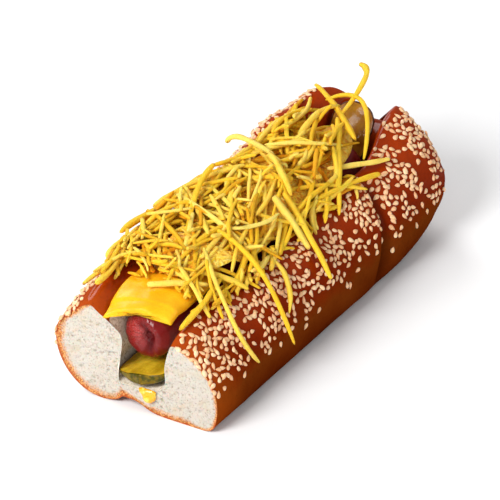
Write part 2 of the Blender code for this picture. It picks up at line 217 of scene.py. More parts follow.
def new_piece(name, points, faces, values=None, merge=False, outwards=True):
    """Smooth mesh object from points in mm, with one float attribute for each entry of values."""
    mesh = bpy.data.meshes.new(name)
    mesh.from_pydata(((np.asarray(points) + SHIFT) * MM).tolist(), [], faces)
    for key, numbers in (values or {}).items():
        add_values(mesh, key, numbers)
    work = bmesh.new()
    work.from_mesh(mesh)
    if merge:
        bmesh.ops.remove_doubles(work, verts=work.verts, dist=0.000002)
    if outwards:
        bmesh.ops.recalc_face_normals(work, faces=work.faces)
    work.to_mesh(mesh)
    work.free()
    mesh.shade_smooth()
    return new_object(name, mesh)


def with_ends(rows):
    """All points or numbers of the rows, then the mean of the first row and of the last."""
    rows = np.asarray(rows)
    flat = rows.reshape(-1, *rows.shape[2:])
    return np.concatenate([flat, [rows[0].mean(axis=0), rows[-1].mean(axis=0)]])


def closed_faces(rows, cols, start=0):
    """Faces of rings in a row, each end closed by a fan round its mean point."""
    faces = (np.array(quads(rows, cols, True)) + start).tolist()
    first, last = start + rows * cols, start + rows * cols + 1
    for col in range(cols):
        after = (col + 1) % cols
        faces.append((first, start + after, start + col))
        faces.append((last, first - cols + col, first - cols + after))
    return faces


def closed_loft(name, rings, values=None):
    """Closed body through rings of equally many points."""
    rings = np.asarray(rings)
    grown = {key: with_ends(numbers) for key, numbers in (values or {}).items()}
    return new_piece(name, with_ends(rings), closed_faces(*rings.shape[:2]), grown)


def finish_piece(item, look, slot, *nodes):
    item.data.materials.clear()
    item.data.materials.append(look)
    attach(item, "root")
    if nodes:
        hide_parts(*nodes)


def tree_of(item):
    mesh = item.data
    return BVHTree.FromPolygons([v.co for v in mesh.vertices], [list(f.vertices) for f in mesh.polygons])


# Shaders


class Value:
    """A node's output socket that Python expressions can work with."""

    def __init__(self, graph, socket):
        self.graph = graph
        self.socket = socket

    def beside(self, name):
        """Another output of the same node."""
        return Value(self.graph, self.socket.node.outputs[name])

    def math(self, operation, *others, clamp=False):
        inputs = dict(enumerate((self, *others)))
        return self.graph.node("ShaderNodeMath", {"operation": operation, "use_clamp": clamp}, inputs)

    def __add__(self, other):
        return self.math("ADD", other)

    __radd__ = __add__

    def __sub__(self, other):
        return self.math("SUBTRACT", other)

    def __rsub__(self, other):
        return (self * -1.0).math("ADD", other)

    def __mul__(self, other):
        return self.math("MULTIPLY", other)

    __rmul__ = __mul__

    def __truediv__(self, other):
        return self.math("DIVIDE", other)

    def smooth(self, low, high):
        """0 below low, 1 above high and an even step between."""
        inputs = {"Value": self, "From Min": low, "From Max": high}
        return self.graph.node("ShaderNodeMapRange", {"interpolation_type": "SMOOTHSTEP"}, inputs)

    def clamp(self):
        return self.math("ADD", 0.0, clamp=True)


class Graph:
    """A node tree whose nodes take constants or Values."""

    def __init__(self, tree):
        self.tree = tree

    def node(self, kind, settings=None, inputs=None, out=0):
        item = self.tree.nodes.new(kind)
        for key, value in (settings or {}).items():
            if key == "stops":
                ramp = item.color_ramp
                while len(ramp.elements) < len(value):
                    ramp.elements.new(0.5)
                for element, (place, colour) in zip(ramp.elements, value):
                    element.position = place
                    element.color = (*colour, 1.0)
            else:
                setattr(item, key, value)
        for key, value in (inputs or {}).items():
            socket = item.inputs[key]
            if isinstance(value, Value):
                self.tree.links.new(value.socket, socket)
            elif socket.type == "RGBA":
                socket.default_value = (*value, 1.0)
            else:
                socket.default_value = value
        return Value(self, item.outputs[out])


class Look(Graph):
    """A Principled material whose inputs take constants or Values."""

    def __init__(self, name, **constants):
        self.material = bpy.data.materials.new(name)
        self.material.use_nodes = True
        super().__init__(self.material.node_tree)
        self.shader = self.tree.nodes["Principled BSDF"]
        for key, value in constants.items():
            self.shader.inputs[key.replace("_", " ").title().replace("Ior", "IOR")].default_value = value

    def feed(self, name, value):
        self.tree.links.new(value.socket, self.shader.inputs[name])

    def place(self):
        """Object coordinates in mm."""
        coords = self.node("ShaderNodeTexCoord", out="Object")
        return self.node("ShaderNodeVectorMath", {"operation": "SCALE"}, {0: coords, "Scale": 1.0 / MM})

    def axes(self, vector):
        """The vector's three numbers."""
        parts = self.node("ShaderNodeSeparateXYZ", None, {0: vector})
        return [parts.beside(name) for name in "XYZ"]

    def stretch(self, vector, scale):
        return self.node("ShaderNodeVectorMath", {"operation": "MULTIPLY"}, {0: vector, 1: scale})

    def noise(self, vector, size, detail=2.0, rough=0.5):
        """Noise whose features are about size mm across."""
        inputs = {"Vector": vector, "Scale": 1.0 / size, "Detail": detail, "Roughness": rough}
        return self.node("ShaderNodeTexNoise", None, inputs)

    def cells(self, vector, size, feature="F1"):
        inputs = {"Vector": vector, "Scale": 1.0 / size}
        return self.node("ShaderNodeTexVoronoi", {"feature": feature}, inputs, out="Distance")

    def attribute(self, name):
        return self.node("ShaderNodeAttribute", {"attribute_name": name}, out="Fac")

    def blend(self, share, low, high):
        """Colour from low to high as share goes from 0 to 1."""
        return self.node("ShaderNodeMix", {"data_type": "RGBA"}, {0: share, 6: low, 7: high}, 2)

    def ramp(self, share, stops):
        return self.node("ShaderNodeValToRGB", {"stops": stops}, {0: share})

    def relief(self, *layers):
        """Bumps from (height in mm, depth in mm) pairs, feeding the shader's Normal."""
        total = None
        for height, depth in layers:
            part = height * depth
            total = part if total is None else total + part
        self.feed("Normal", self.node("ShaderNodeBump", None, {"Height": total, "Distance": MM}))


def crust_look(size):
    look = Look("Bread_Crust", coat_roughness=0.12, specular_ior_level=0.0)
    spot = look.place()
    x, _, z = look.axes(spot)
    broad = look.noise(spot, 14.0, 3.0)
    small = look.noise(spot, 2.2, 4.0, 0.6)
    # Colour by height is partly the crust's own tone and partly painted shade: darker low on the sides and
    # at the base, where less light falls, and lighter on top, where the light falls.
    height = z / BAKED_HEIGHT + (broad - 0.5) * 0.26
    baked = look.ramp(
        height,
        [
            (0.0, size.crust_base),
            (0.10, size.crust_low),
            # Painted reflection: a paler band low on the sides.
            (0.34, size.crust_band),
            (0.56, size.crust_side),
            (0.95, size.crust_top),
        ],
    )
    front = 1.0 - x.smooth(-101.0, -78.0)
    baked = look.blend(front * 0.45, baked, size.crust_front)
    # Painted shade in the crease between the lobes.
    baked = look.blend(look.attribute("crease") * 0.5, baked, size.crust_base)
    baked = look.blend(small.smooth(0.52, 0.75) * 0.22, baked, size.crust_base)
    # The crumb inside the slit is painted paler than on the cut face: painted light that makes up for the
    # shade in the slit.
    crumb = look.blend(look.noise(spot, 1.3, 4.0, 0.7).smooth(0.32, 0.55), size.crumb_warm, size.crumb_wall)
    crusted = (look.attribute("crust") + (small - 0.5) * 0.5).smooth(0.30, 0.55)
    look.feed("Base Color", look.blend(crusted, crumb, baked))
    look.feed("Coat Weight", crusted * z.smooth(20.0, 44.0) * 0.3)
    look.feed("Roughness", 0.85 - crusted * 0.42 + (broad - 0.5) * 0.2)
    look.relief((look.noise(spot, 0.9, 3.0, 0.6), 0.06), (small, 0.12), (look.noise(spot, 7.0, 2.0), 0.5))
    return look.material


def crumb_look(size):
    look = Look("Bread_Crumb", roughness=0.9, subsurface_weight=0.35, subsurface_scale=0.0025)
    spot = look.place()
    ragged = (look.noise(spot, 1.4, 4.0, 0.65) - 0.5) * 1.2 + (look.noise(spot, 4.0, 2.0) - 0.5) * 0.9
    rim = look.attribute("rim") + ragged
    pore = look.attribute("pore")
    fine = look.noise(spot, 1.0, 4.0, 0.62)
    broad = look.noise(spot, 5.0, 3.0)
    # Painted shade: darker colour in the pores and fine hollows of the crumb.
    bread = look.blend(fine.smooth(0.26, 0.5), size.crumb_pore, size.crumb)
    bread = look.blend(pore.smooth(0.15, 0.9) * 0.6, bread, size.crumb_pore)
    bread = look.blend(broad.smooth(0.5, 0.72) * 0.45, bread, size.crumb_warm)
    speckle = look.noise(spot, 0.75, 3.0, 0.7).smooth(0.40, 0.58)
    toasted = look.blend(speckle, size.rim_brown, size.rim_gold)
    bread = look.blend(rim.smooth(0.85, 1.25), look.blend(0.55, bread, toasted), bread)
    bread = look.blend(rim.smooth(0.45, 0.8), toasted, bread)
    bread = look.blend(rim.smooth(0.05, 0.3), size.crust_front, bread)
    look.feed("Base Color", bread)
    look.relief((fine, 0.6), (look.cells(spot, 1.6), 0.35), (look.noise(spot, 3.0, 3.0), 0.8))
    return look.material


def seed_look(size):
    look = Look("Sesame", roughness=0.42, subsurface_weight=0.2, subsurface_scale=0.001)
    spot = look.place()
    colour = look.blend(look.attribute("tint"), size.seed_light, size.seed_toasted)
    colour = look.blend(look.attribute("tip") * 0.55, colour, size.seed_tip)
    colour = look.blend(look.noise(spot, 0.8, 2.0).smooth(0.5, 0.75) * 0.3, colour, size.seed_tip)
    look.feed("Base Color", colour)
    look.relief((look.noise(spot, 0.5, 2.0), 0.12))
    return look.material


def sausage_look(size):
    look = Look(
        "Sausage_Skin",
        coat_roughness=0.07,
        subsurface_weight=0.05,
        subsurface_scale=0.003,
        specular_ior_level=0.1,
    )
    spot = look.place()
    broad = look.noise(spot, 7.0, 3.0)
    fine = look.noise(look.stretch(spot, (0.3, 1.0, 1.0)), 0.9, 4.0, 0.6)
    wrinkled = look.attribute("wrinkled")
    fold = look.attribute("fold")
    creases = look.cells(spot, 1.5, "DISTANCE_TO_EDGE").smooth(0.0, 0.3)
    # Painted light: the skin is bright on a lit spot at the upper left of the front end and darker
    # elsewhere.
    lit = wrinkled * 0.75 + broad.smooth(0.4, 0.75) * 0.25
    colour = look.blend(lit, size.sausage_dark, size.sausage_bright)
    # Painted shade in the folds of the dimple, then dark mottles.
    colour = look.blend(fold * 0.9, colour, size.sausage_deep)
    colour = look.blend(fine.smooth(0.55, 0.8) * 0.3, colour, size.sausage_deep)
    look.feed("Base Color", colour)
    look.feed("Coat Weight", (0.3 + wrinkled * 0.4 - fold * 0.45).clamp())
    look.feed("Roughness", 0.34 + (fine - 0.5) * 0.3 - wrinkled * 0.1)
    look.relief((fine, 0.12), (broad, 0.3), (creases * wrinkled, 0.5))
    return look.material


def cheese_look(size):
    look = Look(
        "Cheese", roughness=0.38, subsurface_weight=0.25, subsurface_scale=0.003, specular_ior_level=0.2
    )
    spot = look.place()
    broad = look.noise(spot, 11.0, 2.0)
    look.feed("Base Color", look.blend(broad.smooth(0.3, 0.7), size.cheese_deep, size.cheese))
    look.relief((look.noise(spot, 1.5, 3.0), 0.12), (broad, 0.5))
    return look.material


def sauce_look(size):
    look = Look("Cheese_Sauce", roughness=0.22, subsurface_weight=0.2, subsurface_scale=0.002)
    spot = look.place()
    lump = look.noise(spot, 3.0, 2.0)
    look.feed("Base Color", look.blend(lump.smooth(0.5, 0.7), size.sauce, size.sauce_pale))
    look.relief((lump, 0.5))
    return look.material


def pickle_look(name, flesh, streak, rind, deep):
    look = Look(
        name,
        roughness=0.25,
        coat_weight=0.18,
        coat_roughness=0.08,
        subsurface_weight=0.2,
        subsurface_scale=0.003,
        specular_ior_level=0.08,
    )
    spot = look.place()
    broad = look.noise(look.stretch(spot, (0.35, 1.0, 1.0)), 5.0, 3.0)
    skin = look.attribute("rind")
    colour = look.blend(broad.smooth(0.35, 0.65), flesh, streak)
    outer = look.blend(look.noise(spot, 2.4, 3.0).smooth(0.35, 0.65), deep, rind)
    colour = look.blend(skin.smooth(0.2, 0.55), colour, outer)
    look.feed("Base Color", colour)
    look.relief((look.noise(spot, 1.6, 3.0), 0.3), (broad, 0.8))
    return look.material


def straw_look(size):
    look = Look(
        "Fried_Potato",
        roughness=0.55,
        subsurface_weight=0.2,
        subsurface_scale=0.0015,
        specular_ior_level=0.12,
    )
    spot = look.place()
    tint = look.attribute("tint")
    grain = look.noise(spot, 0.6, 3.0, 0.65)
    brown = look.attribute("brown") + (look.noise(spot, 1.8, 3.0) - 0.5) * 0.9
    colour = look.ramp(
        tint + (look.noise(spot, 5.0, 2.0) - 0.5) * 0.35 + (grain - 0.5) * 0.3,
        [(0.0, size.straw_light), (0.4, size.straw_middle), (0.7, size.straw_olive), (1.0, size.straw_dark)],
    )
    colour = look.blend(brown.smooth(0.72, 1.12) * 0.8, colour, size.straw_brown)
    look.feed("Base Color", colour)
    look.relief((grain, 0.65), (look.noise(spot, 2.5, 2.0), 0.5))
    return look.material


# Bun


def lip_heights(x):
    pinch = math.exp(-(x - CUT_X) / 6.0)
    rise = float(ease(x, 58.0, 98.0))
    near = NEAR_LIP - 5.0 * pinch + 9.0 * rise
    left = LEFT_LIP - 3.0 * pinch + 2.5 * rise
    return near, left, pinch, rise


def bun_outline(x):
    """Control points (y, z) of the bun's section: slit floor, near half, base, left half."""
    near, left, pinch, rise = lip_heights(x)
    floor = SLIT_FLOOR + (END_WALL - SLIT_FLOOR) * float(ease(x, 62.0, 104.0))
    squeeze = 4.6 * math.exp(-(x - CUT_X) / 1.7)
    swing = float(ease(x, 62.0, 96.0))
    near_deep = near - floor
    left_deep = left - floor
    tip = 4.5 * rise
    return [
        (-7.0 + 7.0 * swing, floor + 0.065 * near_deep),
        (-12.4 + 7.0 * swing, floor + 0.23 * near_deep),
        (-12.9 + 0.5 * pinch + 6.5 * swing, floor + 0.55 * near_deep),
        (-14.2 + 5.5 * swing, floor + 0.85 * near_deep),
        (-16.8 + tip, near),
        (-24.5 + 0.6 * tip, 0.905 * near + 0.5),
        (-31.0, 0.775 * near),
        (-36.2, 0.6 * near),
        (-NEAR_SIDE, 0.38 * near),
        (-NEAR_SIDE, 0.18 * near),
        (-37.0, 2.2),
        (-BASE_NEAR, 0.0),
        (-14.0, 0.0),
        (4.0, 0.0),
        (19.0, 0.0),
        (29.0, 2.4),
        (36.5, 9.0),
        (LEFT_SIDE - 1.0, 19.0),
        (LEFT_SIDE - 0.5 * pinch, 30.0),
        (39.6 - 3.0 * pinch, left - 9.5),
        (34.5 - 3.5 * pinch, left - 3.0),
        (28.0 - 2.0 * pinch + 2.0 * rise, left),
        (21.0 + 4.0 * swing, floor + 0.918 * left_deep),
        (17.2 + 5.3 * swing - 0.6 * squeeze, floor + 0.808 * left_deep),
        (13.9 + 6.3 * swing - squeeze, floor + 0.667 * left_deep),
        (13.4 + 6.3 * swing - 0.75 * squeeze, floor + 0.36 * left_deep),
        (14.6 + 4.8 * swing - 0.8 * squeeze, floor + 0.15 * left_deep),
        (9.5 + 5.5 * swing, floor + 0.018 * left_deep),
    ]


def smooth_loop(points, steps):
    """Closed curve through the control points, each span cut into equal steps."""
    b = np.asarray(points)
    a, c, d = np.roll(b, 1, 0), np.roll(b, -1, 0), np.roll(b, -2, 0)
    t = (np.arange(steps) / steps)[None, :, None]
    b, c, rise_b, rise_c = (v[:, None, :] for v in (b, c, 0.5 * (c - a), 0.5 * (d - b)))
    curve = (2 * t**3 - 3 * t**2 + 1) * b + (t**3 - 2 * t**2 + t) * rise_b
    curve = curve + (3 * t**2 - 2 * t**3) * c + (t**3 - t**2) * rise_c
    curve = curve.reshape(-1, 2)
    curve[:, 1] = np.maximum(curve[:, 1], 0.0)
    return curve


def resample(path, steps):
    """The path cut into equally long steps."""
    along = np.append(0.0, np.cumsum(np.linalg.norm(np.diff(path, axis=0), axis=1)))
    at = np.linspace(0.0, along[-1], steps + 1)
    return between(at, along, path)


def bun_section(x):
    """Outer path from the near crest round to the left crest, and the inner path back."""
    steps = 8
    loop = smooth_loop(bun_outline(x), steps)
    near, left = NEAR_CREST * steps, LEFT_CREST * steps
    outer = resample(loop[near : left + 1], PATH_STEPS)
    inner = resample(np.vstack([loop[left:], loop[: near + 1]]), PATH_STEPS)
    return outer, inner


def shape_bun(x, y, z):
    """Crease, unevenness, the torn hinge under the cut and the rounded far end."""
    outside = ease(abs(y - 1.0), 17.0, 27.0) * ease(z, 1.0, 8.0)
    side = np.where(y > 0, 1.0, -1.0)
    off = x - (CREASE_X + CREASE_LEAN * z)
    swell = -1.3 * bell(off - 12.0, 9.0) - 0.6 * bell(off + 14.0, 10.0)
    push = (CREASE_DEPTH * bell(off, 3.6) + swell) * outside
    # Marks the crease, where the crust gets painted shade.
    crease = bell(off, 2.6) * outside
    y = y - side * push
    z = z - 0.45 * push * ease(z, 20.0, 40.0)
    outside = ease(abs(y - 1.0), 19.0, 28.0) * ease(z, 1.0, 8.0)
    wave = 0.7 * np.sin(x / 15.0 + 0.08 * z) + 0.45 * np.sin(x / 7.3 + side + 0.1 * z)
    y = y + side * 0.8 * wave * outside
    z = z + 0.6 * wave * outside * ease(z, 20.0, 40.0)
    torn = TEAR_HEIGHT * bell(y - TEAR_Y, 8.0) + 1.3 * bell(y - TEAR_Y - 4.6, 1.8)
    z = z + torn * bell(x - CUT_X, 7.0) * (1.0 - ease(z, 0.0, 9.0))
    u = np.clip((x - END_START_X) / (END_X - END_START_X), 0.0, 0.985)
    across = (1.0 - u**6) ** (1 / 6)
    upright = np.where(z < END_MIDDLE_Z, (1.0 - u**2) ** 0.5, (1.0 - u**10) ** 0.1)
    y = END_MIDDLE_Y + (y - END_MIDDLE_Y) * across
    z = END_MIDDLE_Z + (z - END_MIDDLE_Z) * upright
    return y, np.maximum(z, 0.0), crease


def rough(points, size, seed):
    """Noise in -1 to 1 at each point, its features about size mm."""
    away = Vector((seed * 17.3, seed * 5.1, 0.0))
    return np.array([noise.noise(Vector(p) / size + away) for p in points])


def bun_stations():
    front = CUT_X + 26.0 * np.linspace(0.0, 1.0, 45) ** 1.4
    body = np.linspace(front[-1], 60.0, 150)[1:]
    end = 60.0 + 45.8 * np.linspace(0.0, 1.0, 75)[1:]
    return np.concatenate([front, body, end])


def make_bun(size):
    stations = bun_stations()
    rings = []
    creases = []
    crusts = []
    for x in stations:
        outer, inner = bun_section(x)
        loop = np.vstack([outer[:-1], inner[:-1]])
        y, z, crease = shape_bun(np.full(len(loop), x), loop[:, 0], loop[:, 1])
        rings.append(np.stack([np.full(len(loop), x), y, z], axis=1))
        creases.append(crease)
        near, left = lip_heights(x)[:2]
        lip = np.where(loop[:, 0] < 0.0, near - 5.5, left - 9.0)
        crust = np.maximum(ease(loop[:, 1], lip, lip + 5.0), ease(x, 66.0, 76.0))
        crust[: PATH_STEPS + 1] = 1.0
        crusts.append(crust)
    last = rings[-1]
    centre = last.mean(axis=0)
    for share in (0.97, 0.91, 0.82, 0.7, 0.55, 0.38, 0.2):
        ring = centre + (last - centre) * share
        ring[:, 0] = last[:, 0] + 1.2 * math.sqrt(1.0 - share * share)
        rings.append(ring)
        creases.append(creases[-1] * 0.0)
        crusts.append(crusts[-1] * 0.0 + 1.0)
    rings = np.array(rings)
    rows, cols = rings.shape[:2]
    flat = rings.reshape(-1, 3)
    free = ease(flat[:, 0], CUT_X, CUT_X + 6.0) * ease(flat[:, 2], 0.5, 6.0)
    lump = rough(flat, 9.0, 1) * 0.35 + rough(flat, 3.5, 2) * 0.12
    away = flat - np.array(BUN_MIDDLE)
    away[:, 0] = 0.0
    away /= np.linalg.norm(away, axis=1)[:, None]
    outer = np.tile(np.arange(cols) <= PATH_STEPS, rows)
    flat = flat + away * (lump * free * outer)[:, None]
    tip = flat[-cols:].mean(axis=0)
    points = np.vstack([flat, tip])
    faces = quads(rows, cols, True)
    end = len(flat)
    for col in range(cols):
        faces.append((end, end - cols + col, end - cols + (col + 1) % cols))
    values = {
        "crease": np.append(np.concatenate(creases), 0.0),
        "crust": np.append(np.concatenate(crusts), 1.0),
    }
    cap_points, cap_faces, cap_values = cut_face(rings[0])
    crust = new_piece("Bun_Crust", points, faces, values)
    if sum(f.normal.z < -0.9 and f.center.z < 0.002 for f in crust.data.polygons) < 50:
        crust.data.flip_normals()
    face = new_piece("Bun_Cut_Face", cap_points, cap_faces, cap_values, merge=True)
    if sum(f.normal.x for f in face.data.polygons) > 0.0:
        face.data.flip_normals()
    finish_piece(crust, crust_look(size), "bread_crust", "bun")
    finish_piece(face, crumb_look(size), "bread_crust")


def cut_face(ring):
    """Crumb across the cut: ribs from the outer edge to the slit, pitted with pores."""
    finer = 3
    places = np.arange(PATH_STEPS + 1)
    at = np.arange(0, PATH_STEPS * finer + 1) / finer
    outer = between(at, places, ring[: PATH_STEPS + 1])
    inner = between(at, places, np.vstack([ring[PATH_STEPS:], ring[:1]])[::-1])
    t = np.linspace(0.0, 1.0, RIB_STEPS + 1)
    t = t - 0.06 * np.sin(2 * math.pi * t)
    grid = outer[:, None, :] * (1 - t[None, :, None]) + inner[:, None, :] * t[None, :, None]
    rows, cols = grid.shape[:2]
    flat = grid.reshape(-1, 3)
    ribs = np.linalg.norm(inner - outer, axis=1)[:, None]
    from_outer = (ribs * t[None, :]).reshape(-1)
    from_inner = (ribs * (1 - t[None, :])).reshape(-1)
    pores = []
    for p in flat:
        spot = Vector((p[0], p[1] * 0.9, p[2]))
        warp = noise.noise_vector(spot / 3.0) * 1.1
        near, second = noise.voronoi((spot + warp) / 2.6)[0][:2]
        big = max(0.0, 1.0 - near / 0.42) * (noise.noise(spot / 5.0) > -0.05)
        close = noise.voronoi((spot + warp) / 1.1 + Vector((7.0, 0, 0)))[0][0]
        little = max(0.0, 1.0 - close / 0.4)
        pores.append(min(1.0, 1.3 * big) + 0.45 * little)
    pores = np.array(pores)
    free = ease(np.minimum(from_outer, from_inner), 0.0, 1.6)
    wave = rough(flat, 6.0, 3) * 0.6 + rough(flat, 2.4, 4) * 0.35
    torn = ease(4.0 - from_inner, 0.0, 3.0) * np.abs(rough(flat, 1.3, 8)) * 1.1
    hinge = ease(flat[:, 1], -34.0, -20.0) * ease(7.0 - flat[:, 2], 0.0, 4.0)
    left = ease(flat[:, 1], -9.0, 4.0)
    band = 1.5 + 2.5 * left + 4.6 * hinge * (1.0 - left)
    rugged = np.maximum(left, hinge) * ease(4.5 - from_outer, 0.0, 3.0)
    nubs = rugged * np.abs(rough(flat, 1.5, 9)) * 1.1
    flat = flat.copy()
    flat[:, 0] += free * (0.7 * pores + wave + torn + nubs)
    faces = quads(rows, cols, False)
    # The pore mask also places the pores' painted shade.
    return flat, faces, {"pore": pores * free, "rim": from_outer / band}


# Seeds


def seed_shape(size):
    """Teardrop seed lying along X, its point at -X."""
    length, width, height = (v / MM for v in (size.seed_length, size.seed_width, size.seed_height))
    rings = []
    tips = []
    for along, broad in ((-0.5, 0.06), (-0.36, 0.4), (-0.1, 0.82), (0.16, 1.0), (0.36, 0.8), (0.48, 0.35)):
        angles = np.arange(8) * math.pi / 4
        ring = [
            (along * length, 0.5 * width * broad * math.cos(a), 0.5 * height * broad * math.sin(a))
            for a in angles
        ]
        rings.append(ring)
        tips.append([max(0.0, -along * 2.4 - 0.2)] * 8)
    return closed_loft("Seed_Shape", np.array(rings) - SHIFT, {"tip": tips})


def seed_density(points):
    """How thickly seeds lie at each point of the crust, 0 to 1."""
    x, y, z = points.T
    knot = ease(x, 66.0, 84.0)
    near = ease(z, 13.0, 25.0) * ease(-y - 17.0 + 7.0 * knot, 0.0, 3.5)
    left = ease(z, 16.0, 30.0) * ease(y - 30.0 + 3.0 * knot, 0.0, 3.0)
    patch = 0.74 + 1.0 * rough(points, 8.0, 7)
    thick = 0.74 + 0.5 * bell(x - CUT_X, 25.0) * ease(z, 18.0, 27.0) + 0.45 * ease(z, 28.0, 40.0)
    crease = 1.0 - 0.85 * bell(x - CREASE_X - CREASE_LEAN * z, 3.0)
    return np.clip((near + left) * np.clip(patch, 0.15, 1.0) * thick * crease, 0.0, 1.0)


def seed_tree(look):
    """Node tree that strews seeds over the faces by the strew attribute, in two layers."""
    tree = bpy.data.node_groups.new("Strew_Seeds", "GeometryNodeTree")
    graph = Graph(tree)
    kinds = {
        "Geometry": "Geometry",
        "Seed Shape": "Object",
        "Spacing": "Float",
        "Second Spacing": "Float",
        "Random Seed": "Int",
    }
    for name, kind in kinds.items():
        tree.interface.new_socket(name, in_out="INPUT", socket_type="NodeSocket" + kind)
    tree.interface.new_socket("Geometry", in_out="OUTPUT", socket_type="NodeSocketGeometry")
    given = graph.node("NodeGroupInput")
    gather = tree.nodes.new("GeometryNodeJoinGeometry")
    inputs = {"Object": given.beside("Seed Shape")}
    shape = graph.node("GeometryNodeObjectInfo", None, inputs, "Geometry")
    strew = graph.node(
        "GeometryNodeInputNamedAttribute", {"data_type": "FLOAT"}, {"Name": "strew"}, "Attribute"
    )
    for layer, (spacing, lift, lean) in enumerate((("Spacing", 0.2, 0.12), ("Second Spacing", 0.75, 0.3))):
        share = strew
        if layer:
            share = graph.node("ShaderNodeMapRange", None, {"Value": strew, "From Min": 0.6})
        inputs = {
            "Mesh": given.beside("Geometry"),
            "Distance Min": given.beside(spacing),
            "Density Max": 1.0e6,
            "Density Factor": share,
            "Seed": given.beside("Random Seed") + 11.0 * layer,
        }
        settings = {"distribute_method": "POISSON"}
        spread = graph.node("GeometryNodeDistributePointsOnFaces", settings, inputs, "Points")
        inputs = {0: spread.beside("Normal"), "Scale": lift * MM}
        shift = graph.node("ShaderNodeVectorMath", {"operation": "SCALE"}, inputs)
        raised = graph.node("GeometryNodeSetPosition", None, {"Geometry": spread, "Offset": shift})
        vectors = {"data_type": "FLOAT_VECTOR"}
        inputs = {"Min": (-lean, -lean, 0.0), "Max": (lean, lean, 2.0 * math.pi), "Seed": 3 + layer}
        turn = graph.node("FunctionNodeRandomValue", vectors, inputs)
        inputs = {0: spread.beside("Rotation"), 1: turn}
        rotate = graph.node("FunctionNodeRotateEuler", {"space": "LOCAL"}, inputs)
        inputs = {"Min": (0.82, 0.82, 0.85), "Max": (1.14, 1.12, 1.1), "Seed": 8 + layer}
        grow = graph.node("FunctionNodeRandomValue", vectors, inputs)
        inputs = {"Points": raised, "Instance": shape, "Rotation": rotate, "Scale": grow}
        stamp = graph.node("GeometryNodeInstanceOnPoints", None, inputs)
        shade = graph.node("FunctionNodeRandomValue", {"data_type": "FLOAT"}, {"Seed": 21 + layer}, 1)
        settings = {"data_type": "FLOAT", "domain": "INSTANCE"}
        inputs = {"Name": "tint", "Geometry": stamp, "Value": shade}
        store = graph.node("GeometryNodeStoreNamedAttribute", settings, inputs)
        tree.links.new(store.socket, gather.inputs["Geometry"])
    real = graph.node("GeometryNodeRealizeInstances", None, {"Geometry": Value(graph, gather.outputs[0])})
    painted = graph.node("GeometryNodeSetMaterial", None, {"Geometry": real, "Material": look})
    tree.links.new(painted.socket, tree.nodes.new("NodeGroupOutput").inputs["Geometry"])
    return tree


def make_seeds(size):
    crust = bpy.data.objects["Bun_Crust"]
    straws = tree_of(bpy.data.objects["Straw_Potatoes"])
    points = np.empty(len(crust.data.vertices) * 3)
    crust.data.vertices.foreach_get("co", points)
    points = points.reshape(-1, 3)
    strew = seed_density(points / MM - SHIFT)
    for i, value in enumerate(strew):
        if value > 0.0 and straws.find_nearest(Vector(points[i]), 1.5 * MM)[0] is not None:
            strew[i] = 0.0
    field = new_object("Seed_Field", crust.data.copy())
    add_values(field.data, "strew", strew)
    look = seed_look(size)
    shape = seed_shape(size)
    tree = seed_tree(look)
    strewer = field.modifiers.new("Seeds", "NODES")
    strewer.node_group = tree
    given = {
        "Seed Shape": shape,
        "Spacing": size.seed_spacing,
        "Second Spacing": size.seed_spacing * 1.9,
        "Random Seed": size.seed_draw,
    }
    for socket in tree.interface.items_tree:
        if socket.item_type == "SOCKET" and socket.in_out == "INPUT" and socket.name in given:
            strewer[socket.identifier] = given[socket.name]
    bpy.context.view_layer.update()
    graph = bpy.context.evaluated_depsgraph_get()
    mesh = bpy.data.meshes.new_from_object(field.evaluated_get(graph))
    if len(mesh.polygons) < 1000:
        raise RuntimeError("the seeds were not strewn")
    bpy.data.objects.remove(field, do_unlink=True)
    bpy.data.objects.remove(shape, do_unlink=True)
    mesh.name = "Sesame_Seeds"
    mesh.shade_smooth()
    finish_piece(new_object("Sesame_Seeds", mesh), look, "bread_crust")


# Filling


